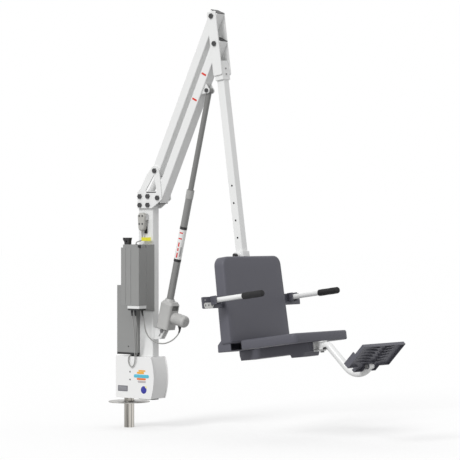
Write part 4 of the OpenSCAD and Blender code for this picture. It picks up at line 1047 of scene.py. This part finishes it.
# Footrest
# A bent white tube that swings on a pin under the seat's front and is held by a
# sprung plunger. It carries the footplate on a hinge.
swing_x, swing_z, bracket_foot = 440.0, -1616.5, -1641.0
hub_out, hub_r = 20.2, 19.8
bracket_bolt = span(link_rise, link_pivot, bracket_foot - 30, bracket_foot - 0.1)
plunger_pin = span(link_run, link_pivot, swing_x - 60, swing_x + 27.6)
dress(white_coat, "footrest_tube")
dress(finish("bracket_coat", **white_paint, bands=[([bracket_bolt], bolt_bright)]), "footrest_bracket")
dress(finish("plunger_black", nylon_black, **black_nylon, bands=[([plunger_pin], bolt_bright)]),
      "footrest_plunger")
hub_ring = [in_link(swing_x + hub_out, u, swing_z + v) for u, v in circle(hub_r, 32)]
weld_bead("footrest_weld", hub_ring, 2.0, "foot_tube", white_coat, closed=True)


# Footplate
# A ribbed moulding in the seat's dark grey, with a raised lip on each side. It
# folds on a steel pin.
hinge = (1575.2, 0, 258.7)
pin_reach, pin_half = 8.9, 33
pin_box = [span((1, 0, 0), hinge, -pin_reach, pin_reach), span(away, hinge, -pin_half, pin_half),
           span(up, hinge, -pin_reach, pin_reach)]
dress(finish("footplate_grain", **seat_plastic, edge=0.003, bands=[(pin_box, bolt_bright)]), "footplate")


# Handset
# A small pale grey hand control with four rubber keys. It hangs on a steel stud on
# the mast by a slot in its back.
handset_shell = finish("handset_shell", (0.46, 0.455, 0.43), 0.5, patch=40, clouding=0.08, grain=900,
                       depth=0.15, edge=0.002, rubbed=(0.56, 0.56, 0.54), rub=0.2)
key_rubber = finish("key_rubber", (0.09, 0.09, 0.09), 0.6, patch=80, clouding=0.2, grain=900, depth=0.1,
                    edge=0.0008)
hook_steel = finish("hook_steel", (0.62, 0.62, 0.62), 0.32, patch=50, clouding=0.1, grain=700, depth=0.06,
                    edge=0.0008, rubbed=(0.75, 0.75, 0.75), rub=0.3, metal=0.35)
hand_x, hand_back, hand_foot, hand_top = 134.0, -33.0, 919.0, 1016.0
foot_half, top_half = 20, 27.5
stud_z = 990.0
in_hand = near_face(hand_back)
hand_outline = [(hand_x - foot_half, hand_foot, 17), (hand_x + foot_half, hand_foot, 17),
                (hand_x + top_half, hand_top, 22), (hand_x - top_half, hand_top, 22)]
hand_levels = [(6, 0.2), (2, 1.2), (0.3, 4), (0, 8), (0, 11), (0.7, 11.4), (0.7, 12), (0, 12.4), (0.2, 17),
               (1.2, 20.6), (3.2, 23.2), (6, 24.5), (11, 25)]
hand_body = mesh_piece("handset_body", *slab(hand_outline, hand_levels, in_hand, 8), handset_shell, smooth=50)
key_out, key_rows = 11, (998, 956)
well_profile = [(19, 5), (40, 5)]
wells = [
    mesh_piece("well", *turned(well_profile, lambda a, u, v: in_hand(key_x + u, key_z + v, a)), handset_shell)
    for key_z in key_rows for key_x in (hand_x - key_out, hand_x + key_out)
]
slot_corners = box_corners(hand_x - 8, stud_z - 27, hand_x + 8, stud_z + 9, 7.6)
slot_cut = mesh_piece("stud_slot", *slab(slot_corners, [(0, -2), (0, 7)], in_hand), handset_shell)
carve(hand_body, slot_cut, *wells)
relief_x, relief_y, relief_z = hand_route[0]
relief_profile = [(0, 3.3), (0, 4)]
for rib in range(7):
    start, swell = 4.6 * rib, 0.42 * rib
    relief_profile += [(2 + start, 4.2 + swell), (3.4 + start, 4.3 + swell),
                       (3.8 + start, 3.5 + swell), (5.4 + start, 3.6 + swell)]
relief_profile += [(36, 7), (40, 7.2)]
hand_relief = mesh_piece(
    "handset_relief",
    *turned(relief_profile, lambda a, u, v: Vector((relief_x + u, relief_y + v, relief_z + a)), 24),
    handset_shell,
)
clip_corners = box_corners(hand_x + 4, 905, hand_x + 21, 944, 4)
clip_levels = [(0.6, -0.2), (0, -0.8), (0, -3.6), (0.8, -4.3)]
hand_clip = mesh_piece("handset_clip", *slab(clip_corners, clip_levels, in_hand), cap_black)
hand_slots = ((hand_body, "grey_cover"), (hand_relief, "grey_cover"), (hand_clip, "black_plastic"))
for piece, hand_slot in hand_slots:
    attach(piece, "hand_control")
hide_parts("handset")
dress(hook_steel, "handset_hook")
dress(key_rubber, "button_up", "button_down", "button_left", "button_right")


# Bounds
# The box round the dressed lift, leaving out the studio floor and hidden parts.
low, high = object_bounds()
